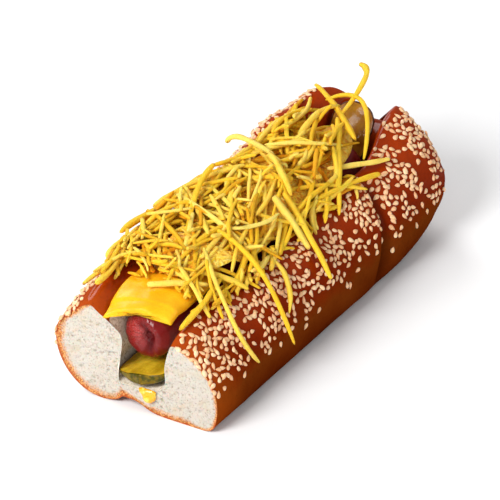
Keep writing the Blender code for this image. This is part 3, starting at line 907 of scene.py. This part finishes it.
def make_sausage(size):
    """Round sausage, its skin gathered into a dimple at the front."""
    length = SAUSAGE_BACK - SAUSAGE_FRONT
    radius = size.sausage_radius / MM
    knots = [(1.9, 1.2), (0.3, 3.2), (0.0, 6.0), (1.0, 8.7), (3.0, 10.5), (6.0, 11.4)]
    knots = [(3.2, -1.2), *knots, (18.0, SAUSAGE_RADIUS), (24.0, SAUSAGE_RADIUS)]
    front = resample(smooth_loop(knots, 8)[8:-16], 52)
    body = np.stack([np.linspace(front[-1, 0], length - front[-1, 0], 110)[1:-1]] * 2, axis=1)
    body[:, 1] = SAUSAGE_RADIUS
    back = front[::-1].copy()
    back[:, 0] = length - back[:, 0]
    profile = np.vstack([front, body, back])
    around = circle(96)
    rings = []
    folds = []
    wrinkles = []
    for along, wide in profile:
        wide = wide * radius / SAUSAGE_RADIUS
        bow = math.sin(math.pi * along / length)
        gather = float(bell(along, 6.0)) if along < 0.5 * length else 0.0
        pull = float(ease(wide, 0.5, 5.0))
        off_centre = gather * (1.0 - float(ease(wide, 1.0, 11.0)))
        crease = bell(np.sin(0.5 * (around + 0.60 * math.pi)), 0.20 * 3.0 / (1.5 + 0.25 * wide))
        crease = np.maximum(crease, 0.8 * bell(np.sin(0.5 * (around - 0.42 * math.pi)), 0.22))
        pucker = 0.14 * np.sin(around * 11.0 + 1.3 * np.sin(around * 3.0))
        fade = 1.0 - float(ease(wide, 5.0, 11.0))
        inward = gather * pull * (0.9 * crease * fade + pucker)
        reach = wide - 0.4 * inward
        ring = np.stack(
            [
                SAUSAGE_FRONT + along + inward,
                SAUSAGE_Y + 0.3 * bow + reach * np.cos(around) - 3.2 * off_centre,
                SAUSAGE_Z - 0.4 * bow + reach * np.sin(around) + 1.8 * off_centre,
            ],
            axis=1,
        )
        rings.append(ring)
        # fold marks the dimple's folds, which get painted shade and less coat.
        folds.append(gather * np.clip(crease * fade + (1.0 - pull), 0.0, 1.0))
        # Painted light: a bright spot at the upper left of the front end, where the wrinkles also go.
        spot = bell(np.hypot(ring[:, 1] - SAUSAGE_Y - 3.5, ring[:, 2] - SAUSAGE_Z - 3.5), 6.5)
        wrinkles.append(spot * float(bell(along, 12.0)))
    sausage = closed_loft("Sausage", rings, {"fold": folds, "wrinkled": wrinkles})
    finish_piece(sausage, sausage_look(size), "sausage_skin", "sausage")


def cheese_top(x, y):
    """Height of the draped slice: an arch over the sausage, climbing the left half."""
    off = y - CHEESE_TOP_Y
    level = 1.0 - 0.8 * ease(x, -101.0, -84.0)
    drop = np.where(off > 0, 0.021 * level, 0.023) * off * off
    fold = 0.9 * ease(x + 0.30 * off, -92.0, -89.5)
    return CHEESE_TOP - drop + fold


def make_cheese(size):
    """Slice draped over the sausage, its front edge slanting back, with soft rims."""
    across = 40
    rows = 70
    half = 0.5 * CHEESE_THICKNESS
    s = np.linspace(0.0, 1.0, across)
    rings = []
    for t in np.linspace(0.0, 1.0, rows) ** 1.3:
        front = CHEESE_FRONT - CHEESE_SLANT * s + 0.35 * np.sin(s * 17.0)
        x = front + (CHEESE_BACK - front) * t
        edge = CHEESE_NEAR_Y + 0.4 * np.sin(x / 9.0)
        y = edge + (CHEESE_LEFT_Y + 2.0 * ease(x, -101.0, -80.0) - edge) * s
        side = np.minimum(s, 1.0 - s) * 30.0
        end = min(t, 1.0 - t) * 45.0
        thick = half * np.sqrt(1.0 - (1.0 - np.clip(side / 1.4, 0.0, 1.0)) ** 2 * 0.97)
        thick = thick * math.sqrt(1.0 - (1.0 - min(end / 1.3, 1.0)) ** 2 * 0.95)
        droop = 1.3 * (1.0 - float(ease(t, 0.0, 0.1)))
        uneven = 0.22 * np.sin(x * 0.45 + y * 0.3) + 0.12 * np.sin(y * 0.7)
        middle = cheese_top(x, y) - droop - half + uneven
        top = np.stack([x, y, middle + thick], axis=1)
        bottom = np.stack([x, y, middle - thick], axis=1)
        rings.append(np.vstack([top, bottom[::-1]]))
    cheese = closed_loft("Cheese_Slice", rings)
    finish_piece(cheese, cheese_look(size), "cheese", "cheese_slice")


def pickle_rings(length, width, thickness, blunt, place):
    """Lengthwise slice: flat flesh side up, round rind below, its front end rounded over blunt mm."""
    rings = []
    rinds = []
    flat_steps, round_steps = 26, 40
    reach = 0.5 * width
    for t in 0.5 - 0.5 * np.cos(math.pi * np.linspace(0.0, 1.0, 110)):
        end = min(t, 1.0 - t) * length
        curve = blunt if t < 0.5 else reach
        grow = 1.0 if end > curve else math.sqrt(max(0.02, 1.0 - ((curve - end) / curve) ** 2.4))
        half = reach * grow
        deep = thickness * (0.62 + 0.38 * grow)
        across = np.linspace(1.0, -1.0, flat_steps)
        inner = float(ease(end, 0.0, 3.0)) * (1.0 - across**4)
        dent = 0.16 * np.sin(across * 6.0 + t * 9.0) * inner
        flesh = np.stack([half * across, 0.25 * (1.0 - across**2) + dent], axis=1)
        angles = np.linspace(0.0, math.pi, round_steps + 2)[1:-1]
        bump = 1.0 + 0.015 * np.sin(angles * 9.0 + t * 40.0)
        under = np.stack([-half * np.cos(angles) * bump, -deep * np.sin(angles) * bump], axis=1)
        ring = np.vstack([flesh, under])
        rings.append([place(t * length, y, z) for y, z in ring])
        edge = 1.0 - ease(np.minimum(half * (1.0 - abs(across)), end + 0.01), 0.2, 1.1)
        rinds.append(np.concatenate([edge, np.ones(round_steps)]))
    return rings, {"rind": rinds}


def make_pickles(size):
    tilt = math.radians(PICKLE_TILT)

    def lying(along, y, z):
        across = y * math.cos(tilt) + z * math.sin(tilt)
        lift = z * math.cos(tilt) - y * math.sin(tilt)
        return (PICKLE_FRONT + along, PICKLE_Y + across, PICKLE_Z + lift)

    slope = math.radians(END_PICKLE_SLOPE)

    def leaning(along, y, z):
        lift = along * math.sin(slope) + z * math.cos(slope)
        run = along * math.cos(slope) - z * math.sin(slope)
        return (END_PICKLE_X + run, END_PICKLE_Y + y, END_PICKLE_Z + lift)

    front = closed_loft("Pickle_Slice", *pickle_rings(*PICKLE_SIZE, PICKLE_ROUNDED, lying))
    look = pickle_look("Pickle", size.pickle_flesh, size.pickle_streak, size.pickle_rind, size.pickle_deep)
    finish_piece(front, look, "pickle", "pickle_slice")
    back = closed_loft("End_Pickle_Slice", *pickle_rings(*END_PICKLE_SIZE, END_PICKLE_ROUNDED, leaning))
    look = pickle_look("End_Pickle", size.end_flesh, size.end_streak, size.end_rind, size.end_rind)
    finish_piece(back, look, "end_pickle", "end_pickle_slice")


def make_sauce(size):
    """Drip hanging from under the pickle down the cut face."""
    knots = np.array(SAUCE_KNOTS)
    angle = circle(28)
    outward = np.maximum(np.sin(angle), -0.15)
    rings = []
    for z, half, deep in between(np.linspace(0, len(knots) - 1, 40), range(len(knots)), knots):
        uneven = 1.0 + 0.12 * np.sin(z * 1.7 + 2.0 * np.cos(angle))
        ring = np.stack(
            [
                CUT_X - 0.75 - deep * outward * uneven,
                SAUCE_Y + 0.16 * (z - SAUCE_Z) + half * np.cos(angle) + 0.25 * np.sin(z * 1.3),
                np.full(len(angle), z),
            ],
            axis=1,
        )
        rings.append(ring)
    sauce = closed_loft("Cheese_Sauce", rings)
    finish_piece(sauce, sauce_look(size), "cheese_sauce", "cheese_sauce")


# Straw potatoes: start, middle and end of each straw that stands out in the heap, mm
STANDING_STRAWS = [
    ((-20, 30, 58), (-28, 9, 59), (-33, -12, 53)),
    ((2, 24, 64), (-21, 20, 60), (-50, 6, 55)),
    ((-34, 5, 57), (-40, -23, 49), (-43, -44, 17)),
    ((-50, -2, 57), (-74, -31, 42), (-66, -40, 19)),
    ((-25, -20, 45), (-28, -31, 38.5), (-39, -39, 29)),
    ((-1, -8, 59), (-2, -18, 50), (-4, -28, 40)),
    ((9, -7, 56), (-1, -28, 42), (-5, -40, 29)),
    ((-84, 6, 53.5), (-76, -3, 53), (-64, -13, 49)),
    ((-66, -4, 53.5), (-57, -13, 50), (-50, -25, 43)),
    ((-56, -14, 49), (-74, -17, 47), (-95, -17, 44)),
    ((-8, 22, 54), (-30, 34, 54), (-54, 38, 54)),
    ((-93, 33, 50), (-67, 30, 52), (-38, 26, 53)),
    ((-70, 34, 50), (-60, 34, 54), (-37, 25, 52.5)),
    ((-31, -3, 57), (-20, -12, 56), (-6, -14, 55)),
    ((-38, 24, 53), (-51, 17, 56), (-64, 9, 54)),
    ((-32, 14, 60), (-51, 6, 58), (-66, 0, 53)),
    ((-62, 15, 54), (-69, 1, 54.5), (-69, -14, 48.5)),
    ((28, 33, 58), (31, 28, 61), (30, 10, 58)),
    ((101, 9, 68), (96, 3, 65), (76, 4, 56)),
    ((84, 16, 56), (84, -3, 60.6), (61, -17, 48)),
    ((95, 28, 54.5), (82, 11, 57), (66, -10, 53)),
    ((70, -25, 46), (57, -18, 48), (42, -10, 51)),
    ((60, -26, 44), (41, -21, 47), (20, -17, 48.5)),
    ((74, 4, 56), (53, -9, 54), (35, -20, 47)),
    ((27, 11, 59), (19, 2, 62), (8, -12, 56)),
    ((24, 30, 52.5), (20, 16, 57), (13, 0, 58)),
    ((35, 18, 58), (42, 4, 60), (58, -8, 54)),
    ((50, 9, 58), (68, 10, 60), (83, 8, 56)),
]


def heap_core():
    """Low uneven mound under the straws, over the sausage and both lips."""
    count = 60
    angle = circle(CORE_CORNERS)
    rings = []
    for t in np.linspace(0.0, 1.0, count):
        x = HEAP_FRONT + 2.0 + (HEAP_BACK - HEAP_FRONT - 20.0) * t
        grow = math.sqrt(max(0.04, 1.0 - abs(2 * t - 1) ** 3.5))
        over_cheese = 1.0 - float(ease(x, -46.0, -36.0))
        bottom = 46.5 + 5.4 * over_cheese + 3.0 * float(ease(x, 60.0, 92.0))
        middle = 3.0 + 2.0 * math.sin(x / 21.0)
        y = middle + 17.3 * grow * np.cos(angle)
        tall = (5.2 + 1.2 * math.sin(x / 11.0) - 2.6 * over_cheese) * grow
        lift = tall * np.maximum(np.sin(angle), 0.0) + 0.10 * (y + 12.0)
        rings.append(np.stack([np.full(CORE_CORNERS, x), y, bottom + lift], axis=1))
    rings = np.array(rings)
    flat = rings.reshape(-1, 3)
    bumps = rough(flat, 4.0, 11) * 0.9 + rough(flat, 1.7, 12) * 0.5
    upper = np.tile(np.sin(angle) > 0.05, count)
    rings[:, :, 2] += (bumps * upper).reshape(count, CORE_CORNERS)
    return rings


class Ground:
    """Heights of whatever lies under the next straw, on a grid of 1 mm squares."""

    def __init__(self, trees):
        self.x = np.arange(*GROUND_X, 1.0)
        self.y = np.arange(*GROUND_Y, 1.0)
        self.z = np.zeros((len(self.x), len(self.y)))
        down = Vector((0.0, 0.0, -1.0))
        for i, x in enumerate(self.x):
            for j, y in enumerate(self.y):
                start = Vector((np.array((x, y, GROUND_START_Z)) + SHIFT) * MM)
                for tree in trees:
                    hit = tree.ray_cast(start, down)[0]
                    if hit is not None:
                        self.z[i, j] = max(self.z[i, j], hit.z / MM)

    def cell(self, path):
        i = np.clip(np.rint(path[:, 0] - self.x[0]).astype(int), 0, len(self.x) - 1)
        j = np.clip(np.rint(path[:, 1] - self.y[0]).astype(int), 0, len(self.y) - 1)
        return i, j

    def height(self, path):
        return self.z[self.cell(path)]

    def settle(self, path, radius):
        """Lowers the path, tilting it, until it rests on what is under it."""
        under = self.height(path) + radius
        t = np.linspace(-0.5, 0.5, len(path))
        best = None
        for tilt in np.linspace(-22.0, 22.0, 45):
            lift = np.max(under - path[:, 2] - tilt * t)
            gap = np.mean(path[:, 2] + tilt * t + lift - under)
            if best is None or gap < best[0]:
                best = (gap, tilt, lift)
        out = path.copy()
        out[:, 2] += best[1] * t + best[2]
        return out, best[0]

    def cover(self, path, radius, sink):
        i, j = self.cell(path)
        np.maximum.at(self.z, (i, j), path[:, 2] + radius - sink)


def straw_path(start, middle, end, steps):
    """Bent line from start through middle to end."""
    a, m, b = (np.array(p, dtype=float) for p in (start, middle, end))
    pull = 2.0 * m - 0.5 * (a + b)
    t = np.linspace(0.0, 1.0, steps + 1)[:, None]
    return a * (1 - t) ** 2 + pull * 2 * t * (1 - t) + b * t**2


def straw_rings(path, width, rng):
    """Rounded bar with tapering ends along a path, a little uneven."""
    around = circle(8)
    square = 1.0 + 0.12 * np.cos(4 * around)
    twist = rng.uniform(0, math.pi)
    turn = rng.uniform(-1.0, 1.0)
    flat = rng.uniform(0.72, 1.0)
    taper_start = rng.uniform(0.5, 0.95)
    taper_end = rng.uniform(0.35, 0.9)
    lumps = [rng.uniform(0.0, 2.0 * math.pi) for _ in range(3)]
    long = float(np.linalg.norm(np.diff(path, axis=0), axis=1).sum())
    marks = np.linspace(2.4 / long, 1.0 - 2.4 / long, max(len(path) - 2, 3))
    marks = np.concatenate([(0.0, 0.8 / long), marks, (1.0 - 0.8 / long, 1.0)])
    at = np.linspace(0.0, 1.0, len(path))
    path = between(marks, at, path)
    last = len(path) - 1
    rings = []
    browns = []
    base = rng.uniform(0.0, 0.35)
    for i, p in enumerate(path):
        along = path[min(i + 1, last)] - path[max(i - 1, 0)]
        along /= np.linalg.norm(along)
        side = np.cross(along, (0.0, 0.0, 1.0))
        size = np.linalg.norm(side)
        side = side / size if size > 0.05 else np.array((0.0, 1.0, 0.0))
        lift = np.cross(side, along)
        t = marks[i]
        near_end = min(t, 1.0 - t) * long
        taper = taper_start if t < 0.5 else taper_end
        wide = 0.5 * width * (taper + (1.0 - taper) * min(1.0, near_end / 6.0) ** 0.7)
        wide *= min(1.0, 0.55 + 0.5 * near_end)
        wide *= 1.0 + 0.09 * math.sin(5.0 * t + lumps[0]) + 0.06 * math.sin(17.0 * t + lumps[1])
        p = p + side * 0.12 * math.sin(13.0 * t + lumps[2])
        angle = around + twist + turn * t
        ring = p + wide * (
            np.outer(np.cos(angle) * square, side) + flat * np.outer(np.sin(angle) * square, lift)
        )
        rings.append(ring)
        tip = float(bell(near_end, 1.6)) * 0.55
        browns.append(np.where(square > 1.05, 0.25, 0.0) + tip + base)
    return np.array(rings), np.array(browns)


class StrawHeap:
    """Points, faces and shades of all the straws, gathered for one mesh."""

    def __init__(self):
        self.points = []
        self.faces = []
        self.tints = []
        self.browns = []
        self.count = 0

    def add(self, rings, browns, tint):
        points = with_ends(rings)
        self.points.append(points)
        self.faces += closed_faces(*rings.shape[:2], self.count)
        self.tints.append(np.full(len(points), tint))
        self.browns.append(with_ends(browns))
        self.count += len(points)


def loose_straw(rng, shortest, longest):
    """A straw lying flat, before it settles."""
    x = rng.uniform(HEAP_FRONT - 3.0, HEAP_BACK - 10.0)
    y = rng.uniform(-22.0, 34.0)
    heading = rng.choice((55.0, 60.0, 25.0, 20.0, -75.0, -20.0, 5.0)) + rng.gauss(0.0, 17.0)
    heading = math.radians(heading)
    length = rng.uniform(shortest, longest)
    half = 0.5 * length * np.array((math.cos(heading), math.sin(heading), 0.0))
    bend = np.array((-half[1], half[0], 0.0)) * rng.gauss(0.0, 0.14)
    arch = np.array((0.0, 0.0, rng.gauss(0.6, 1.6) * length / 40.0))
    centre = np.array((x, y, 0.0))
    steps = 12 if length > 20.0 else 6
    return straw_path(centre - half, centre + bend + arch, centre + half, steps)


def heap_reach(x):
    """How far towards the left half the heap keeps its full height."""
    return 30.0 - 9.0 * ease(x, -25.0, 30.0) - 4.0 * bell(x + 74.0, 14.0)


def heap_limit(path):
    """How high the settled straws may lie at each point of a path."""
    x, y = path[:, 0], path[:, 1]
    crown = 59.5 - 2.5 * bell(x + 74.0, 14.0) + 0.9 * np.sin(x / 6.5) + 0.7 * np.sin(x / 3.7 + y / 5.0)
    beyond = np.maximum(y - heap_reach(x), 0.0)
    crown = crown - 0.12 * beyond**2 - 0.018 * np.maximum(5.0 - y, 0.0) ** 2
    end = ease(x, 50.0, 60.0) * ease(-y, 6.0, 11.0) + ease(x, 83.0, 89.0)
    return crown - 30.0 * end


def poking_straw(rng, ground):
    """A short straw standing up out of the heap at a slant."""
    heading = rng.uniform(0.0, 2.0 * math.pi)
    pitch = math.radians(rng.uniform(15.0, 55.0))
    length = rng.uniform(9.0, 19.0)
    foot = np.array((rng.uniform(-70.0, 76.0), rng.uniform(-16.0, 31.0), 0.0))
    foot[2] = ground.height(foot[None, :])[0] - 2.0
    run = length * math.cos(pitch) * np.array((math.cos(heading), math.sin(heading), 0.0))
    tip = foot + run + np.array((0.0, 0.0, length * math.sin(pitch)))
    bend = np.array((rng.gauss(0.0, 0.8), rng.gauss(0.0, 0.8), rng.gauss(0.5, 0.8)))
    return straw_path(foot, 0.5 * (foot + tip) + bend, tip, 6)


def core_look(size):
    """Straws packed too deep to tell apart: strands running three ways."""
    look = Look("Fried_Potato_Deep", roughness=0.6, subsurface_weight=0.15, subsurface_scale=0.0015)
    spot = look.place()
    strands = None
    for turn in (-0.6, 0.5, 1.3):
        inputs = {"Vector": spot, "Angle": turn}
        turned = look.node("ShaderNodeVectorRotate", {"rotation_type": "Z_AXIS"}, inputs)
        strand = look.noise(look.stretch(turned, (0.12, 1.0, 1.0)), 1.6, 2.0)
        strands = strand if strands is None else strands.math("MAXIMUM", strand)
    # Browner, darker colours between the strands: painted shade in the gaps between packed straws.
    colour = look.ramp(
        strands,
        [
            (0.34, size.straw_brown),
            (0.46, size.straw_dark),
            (0.57, size.straw_middle),
            (0.72, size.straw_light),
        ],
    )
    look.feed("Base Color", colour)
    look.relief((strands, 3.0), (look.noise(spot, 0.7, 3.0), 0.3))
    return look.material


def make_straws(size):
    rng = random.Random(size.straw_draw)
    heap = StrawHeap()
    core = heap_core()
    finish_piece(closed_loft("Straw_Core", core), core_look(size), "fried_potato")
    names = ("Bun_Crust", "Cheese_Slice", "Sausage", "Pickle_Slice", "End_Pickle_Slice")
    ground = Ground([tree_of(bpy.data.objects[name]) for name in names])
    ground.z += HEAP_GAP
    for ring in core:
        ground.cover(resample(ring[: CORE_CORNERS // 2 + 1], TRACE_STEPS), 0.0, 0.8)
    width = size.straw_width / MM
    made = 0
    for _ in range(size.straw_count * TRIES):
        if made == size.straw_count:
            break
        own = width * rng.uniform(0.66, 1.1)
        long = rng.random() > 0.35
        path = loose_straw(rng, 18.0, 50.0) if long else loose_straw(rng, 6.0, 16.0)
        settled, gap = ground.settle(path, 0.5 * own)
        crowded = np.mean(settled[:, 2] > heap_limit(settled))
        low = np.any(settled[:, 2] < LOOSE_LOWEST)
        ahead = np.any((settled[:, 0] < CLEAR_X) & (settled[:, 1] < CLEAR_Y))
        if crowded > 0.1 or low or ahead or gap > (5.0 if long else 1.5):
            continue
        ground.cover(resample(settled, TRACE_STEPS), 0.5 * own, 0.6 * own)
        # Random tint plus painted shade: straws laid earlier lie deeper in the heap and get darker, more
        # golden tints; the poking and standing straws, on top, get only the paler tints.
        shade = 0.75 * rng.random() ** 1.3 + 0.35 * (1.0 - made / size.straw_count) ** 2
        heap.add(*straw_rings(settled, own, rng), min(shade, 1.0))
        made += 1
    for _ in range(size.poking_count):
        path = poking_straw(rng, ground)
        inside = path[-1, 2] < POKING_TOP and path[-1, 1] < heap_reach(path[-1, 0])
        if inside and not (path[0, 0] < -40.0 and path[0, 1] < 0.0):
            heap.add(*straw_rings(path, width * rng.uniform(0.7, 1.0), rng), rng.random() * 0.6)
    for start, middle, end in STANDING_STRAWS:
        path = straw_path(start, middle, end, 16)
        heap.add(*straw_rings(path, width * rng.uniform(0.95, 1.3), rng), rng.random() * 0.5)
    straws = new_piece(
        "Straw_Potatoes",
        np.vstack(heap.points),
        heap.faces,
        {"tint": np.concatenate(heap.tints), "brown": np.concatenate(heap.browns)},
    )
    finish_piece(straws, straw_look(size), "fried_potato", "straw_potatoes")


# Stage


def area_light(name, place, width, power):
    light = bpy.data.lights.new(name, "AREA")
    light.shape = "DISK"
    light.size = width
    light.energy = power
    item = new_object(name, light)
    item.location = place
    item.rotation_euler = (Vector(place) - Vector(LIGHT_AIM)).to_track_quat("Z", "Y").to_euler()


def make_stage(stage):
    floor_mesh = bpy.data.meshes.new("Floor")
    sides = ((-1, -1), (1, -1), (1, 1), (-1, 1))
    corners = [(FLOOR_REACH * x, FLOOR_REACH * y, 0.0) for x, y in sides]
    floor_mesh.from_pydata(corners, [], [(0, 1, 2, 3)])
    look = Look("Floor_Paper", roughness=0.7)
    spot = look.place()
    look.feed("Base Color", look.blend(look.noise(spot, 60.0), stage.floor, stage.floor_shade))
    floor_mesh.materials.append(look.material)
    floor = new_object("Floor", floor_mesh)
    world = bpy.data.worlds.new("Studio")
    world.use_nodes = True
    sky = world.node_tree.nodes["Background"]
    sky.inputs["Color"].default_value = (1.0, 1.0, 1.0, 1.0)
    sky.inputs["Strength"].default_value = stage.sky
    bpy.context.scene.world = world
    area_light("Key", (-0.95, 0.2, 0.78), 0.6, stage.key)
    area_light("Fill", (0.2, -1.2, 0.5), 0.9, stage.fill)
    area_light("Front", (-1.15, -0.5, 0.25), 0.5, stage.front)
    area_light("Back", (0.6, 0.9, 0.8), 0.7, stage.back)
    azimuth = math.radians(stage.azimuth)
    tilt = math.radians(stage.elevation)
    back = Vector((math.sin(azimuth) * math.cos(tilt), -math.cos(azimuth) * math.cos(tilt), math.sin(tilt)))
    aim = Vector((np.array(CAMERA_AIM) + SHIFT) * MM)
    camera = new_object("Photo_Camera", bpy.data.cameras.new("Photo_Camera"))
    camera.location = aim + back * stage.distance
    camera.rotation_euler = back.to_track_quat("Z", "Y").to_euler()
    camera.data.sensor_width = SENSOR_WIDTH
    camera.data.lens = SENSOR_WIDTH * stage.distance / stage.view_width
    bpy.context.scene.camera = camera
    bpy.context.scene.view_settings.view_transform = "Standard"


# Add-on


def colour_property(name, description, red, green, blue):
    return FloatVectorProperty(
        name=name,
        description=description,
        subtype="COLOR",
        size=3,
        min=0.0,
        max=1.0,
        default=srgb(red, green, blue),
    )


def length_property(name, description, millimetres):
    return FloatProperty(
        name=name, description=description, unit="LENGTH", subtype="DISTANCE", default=millimetres * MM
    )


def number_property(name, description, value, unit="NONE"):
    return FloatProperty(name=name, description=description, unit=unit, default=value)


def count_property(name, description, value):
    return IntProperty(name=name, description=description, default=value)


class HotDogBread(bpy.types.PropertyGroup):
    """Sizes and colours of the bun and its seeds"""

    # The crust colours from top to base darken partly as painted shade; the lowest is also painted shade in
    # the crease.
    crust_top: colour_property("Crust top", "Glossy crust near the lips", 156, 50, 5)
    crust_front: colour_property("Crust by the cut", "Crust next to the cut end", 170, 76, 16)
    crust_side: colour_property("Crust side", "Crust half way up", 124, 34, 4)
    # Painted reflection: the paler band low on the sides.
    crust_band: colour_property("Crust band", "Paler band low on the sides", 110, 48, 10)
    crust_low: colour_property("Crust low", "Crust near the base", 90, 30, 3)
    crust_base: colour_property("Crust base", "Darkest crust, under the sides and in the crease", 52, 14, 2)
    rim_gold: colour_property("Rim", "Gold rim between crumb and crust", 222, 158, 92)
    rim_brown: colour_property("Toasted rim", "Brown specks of the rim", 158, 84, 32)
    crumb: colour_property("Crumb", "White crumb", 195, 187, 175)
    crumb_warm: colour_property("Warm crumb", "Creamier patches of the crumb", 192, 173, 142)
    crumb_pore: colour_property("Pores", "Shaded pores of the crumb", 146, 132, 116)
    # Painted light: the slit's crumb is paler to make up for its shade.
    crumb_wall: colour_property("Slit crumb", "Pale crumb inside the slit", 244, 232, 214)
    seed_light: colour_property("Seed", "Pale sesame seed", 248, 210, 166)
    seed_toasted: colour_property("Toasted seed", "Darker sesame seed", 232, 178, 128)
    seed_tip: colour_property("Seed tip", "Browner point and edge of a seed", 194, 122, 68)
    seed_length: length_property("Seed length", "Length of a sesame seed", 3.3)
    seed_width: length_property("Seed width", "Width of a sesame seed", 2.15)
    seed_height: length_property("Seed height", "Thickness of a sesame seed", 1.15)
    seed_spacing: length_property("Seed spacing", "Least distance between seeds of one layer", 2.6)
    seed_draw: count_property("Seed draw", "Random draw of the seeds", 5)


class HotDogFilling(bpy.types.PropertyGroup):
    """Sizes and colours of the filling"""

    sausage_radius: length_property("Sausage radius", "Radius of the sausage", SAUSAGE_RADIUS)
    sausage_bright: colour_property("Sausage", "Skin in the light", 168, 50, 46)
    sausage_dark: colour_property("Sausage side", "Skin away from the light", 104, 14, 14)
    # Painted shade in the folds, also dark mottles.
    sausage_deep: colour_property("Sausage folds", "Darkest skin in the folds", 62, 6, 8)
    cheese: colour_property("Cheese", "Cheese slice", 246, 184, 24)
    cheese_deep: colour_property("Cheese shade", "Deeper patches of the cheese", 240, 170, 12)
    sauce: colour_property("Sauce", "Cheese sauce", 240, 168, 20)
    sauce_pale: colour_property("Sauce lumps", "Paler lumps of the sauce", 250, 206, 90)
    pickle_flesh: colour_property("Pickle flesh", "Flesh of the pickle", 172, 136, 18)
    pickle_streak: colour_property("Pickle streak", "Lighter streaks of the flesh", 212, 174, 40)
    pickle_rind: colour_property("Pickle rind", "Rind of the pickle", 114, 92, 6)
    pickle_deep: colour_property("Pickle rind shade", "Darkest rind", 64, 62, 4)
    end_flesh: colour_property("End pickle flesh", "Flesh of the pickle at the closed end", 150, 92, 14)
    end_streak: colour_property("End pickle streak", "Lighter flesh at the closed end", 178, 124, 34)
    end_rind: colour_property("End pickle rim", "Thin dark rim", 74, 40, 26)


class HotDogStraws(bpy.types.PropertyGroup):
    """Sizes and colours of the straw potatoes"""

    straw_width: length_property("Straw width", "Usual thickness of a straw", 2.2)
    straw_count: count_property("Straws", "Most loose straws laid besides the standing ones", 700)
    poking_count: count_property("Poking straws", "Most short straws standing up at a slant", 70)
    straw_draw: count_property("Straw draw", "Random draw of the straws", 4)
    straw_light: colour_property("Light straw", "Palest straws", 255, 226, 112)
    straw_middle: colour_property("Golden straw", "Usual straws", 254, 204, 50)
    straw_olive: colour_property("Olive straw", "Greener straws", 234, 184, 36)
    straw_dark: colour_property("Dark straw", "Darkest straws", 230, 148, 16)
    straw_brown: colour_property("Fried edge", "Brown tips and edges", 150, 78, 14)


class HotDogStage(bpy.types.PropertyGroup):
    """Camera, floor and lights"""

    azimuth: number_property("Azimuth", "Camera angle round the bun, degrees", -59.0)
    elevation: number_property("Elevation", "Camera angle above the floor, degrees", 32.0)
    distance: number_property("Distance", "Camera distance", 8.0, "LENGTH")
    view_width: number_property("View width", "Width seen at the bun", 0.2185, "LENGTH")
    key: number_property("Key light", "Power of the main light", 15.5, "POWER")
    fill: number_property("Fill light", "Power of the light on the near side", 3.5, "POWER")
    front: number_property("Front light", "Power of the low light into the slit", 2.5, "POWER")
    back: number_property("Back light", "Power of the light from behind", 8.5, "POWER")
    sky: number_property("Sky", "Strength of the even light", 0.36)
    floor: colour_property("Floor", "Pale floor", 250, 250, 250)
    floor_shade: colour_property("Floor shade", "Slightly darker floor", 246, 246, 247)


class HOTDOG_OT_bun(bpy.types.Operator):
    """Build the bun's crust and its cut face"""

    bl_idname = "hotdog.bun"
    bl_label = "Bun"

    def execute(self, context):
        make_bun(context.scene.hotdog_bread)
        return {"FINISHED"}


class HOTDOG_OT_filling(bpy.types.Operator):
    """Build the sausage, cheese slice, both pickle slices and the cheese sauce"""

    bl_idname = "hotdog.filling"
    bl_label = "Filling"

    def execute(self, context):
        size = context.scene.hotdog_filling
        make_sausage(size)
        make_cheese(size)
        make_pickles(size)
        make_sauce(size)
        return {"FINISHED"}


class HOTDOG_OT_straws(bpy.types.Operator):
    """Lay the straw potatoes over the bun and its filling"""

    bl_idname = "hotdog.straws"
    bl_label = "Straw Potatoes"

    def execute(self, context):
        make_straws(context.scene.hotdog_straws)
        return {"FINISHED"}


class HOTDOG_OT_seeds(bpy.types.Operator):
    """Strew sesame seeds over the crust, where no straw touches it"""

    bl_idname = "hotdog.seeds"
    bl_label = "Sesame Seeds"

    def execute(self, context):
        make_seeds(context.scene.hotdog_bread)
        return {"FINISHED"}


class HOTDOG_OT_stage(bpy.types.Operator):
    """Set up the floor, the lights and the camera"""

    bl_idname = "hotdog.stage"
    bl_label = "Stage"

    def execute(self, context):
        make_stage(context.scene.hotdog_stage)
        return {"FINISHED"}


class HOTDOG_PT_panel(bpy.types.Panel):
    """Builders of the hot dog, with their sizes and colours"""

    bl_idname = "HOTDOG_PT_panel"
    bl_label = "Hot Dog"
    bl_space_type = "VIEW_3D"
    bl_region_type = "UI"
    bl_category = "Hot Dog"

    def draw(self, context):
        for group, operators in (
            ("hotdog_bread", ("hotdog.bun", "hotdog.seeds")),
            ("hotdog_filling", ("hotdog.filling",)),
            ("hotdog_straws", ("hotdog.straws",)),
            ("hotdog_stage", ("hotdog.stage",)),
        ):
            box = self.layout.box()
            settings = getattr(context.scene, group)
            for key in settings.__annotations__:
                box.prop(settings, key)
            for operator in operators:
                box.operator(operator)


GROUPS = {
    "hotdog_bread": HotDogBread,
    "hotdog_filling": HotDogFilling,
    "hotdog_straws": HotDogStraws,
    "hotdog_stage": HotDogStage,
}
OPERATORS = (HOTDOG_OT_bun, HOTDOG_OT_filling, HOTDOG_OT_straws, HOTDOG_OT_seeds, HOTDOG_OT_stage)


def register():
    for key, group in GROUPS.items():
        bpy.utils.register_class(group)
        setattr(bpy.types.Scene, key, PointerProperty(type=group))
    for item in (*OPERATORS, HOTDOG_PT_panel):
        bpy.utils.register_class(item)


def unregister():
    for item in (HOTDOG_PT_panel, *reversed(OPERATORS)):
        bpy.utils.unregister_class(item)
    for key, group in GROUPS.items():
        delattr(bpy.types.Scene, key)
        bpy.utils.unregister_class(group)


def main():
    register()
    bpy.ops.hotdog.bun()
    bpy.ops.hotdog.filling()
    bpy.ops.hotdog.straws()
    bpy.ops.hotdog.seeds()
    bpy.ops.hotdog.stage()


if __name__ == "__main__":
    main()
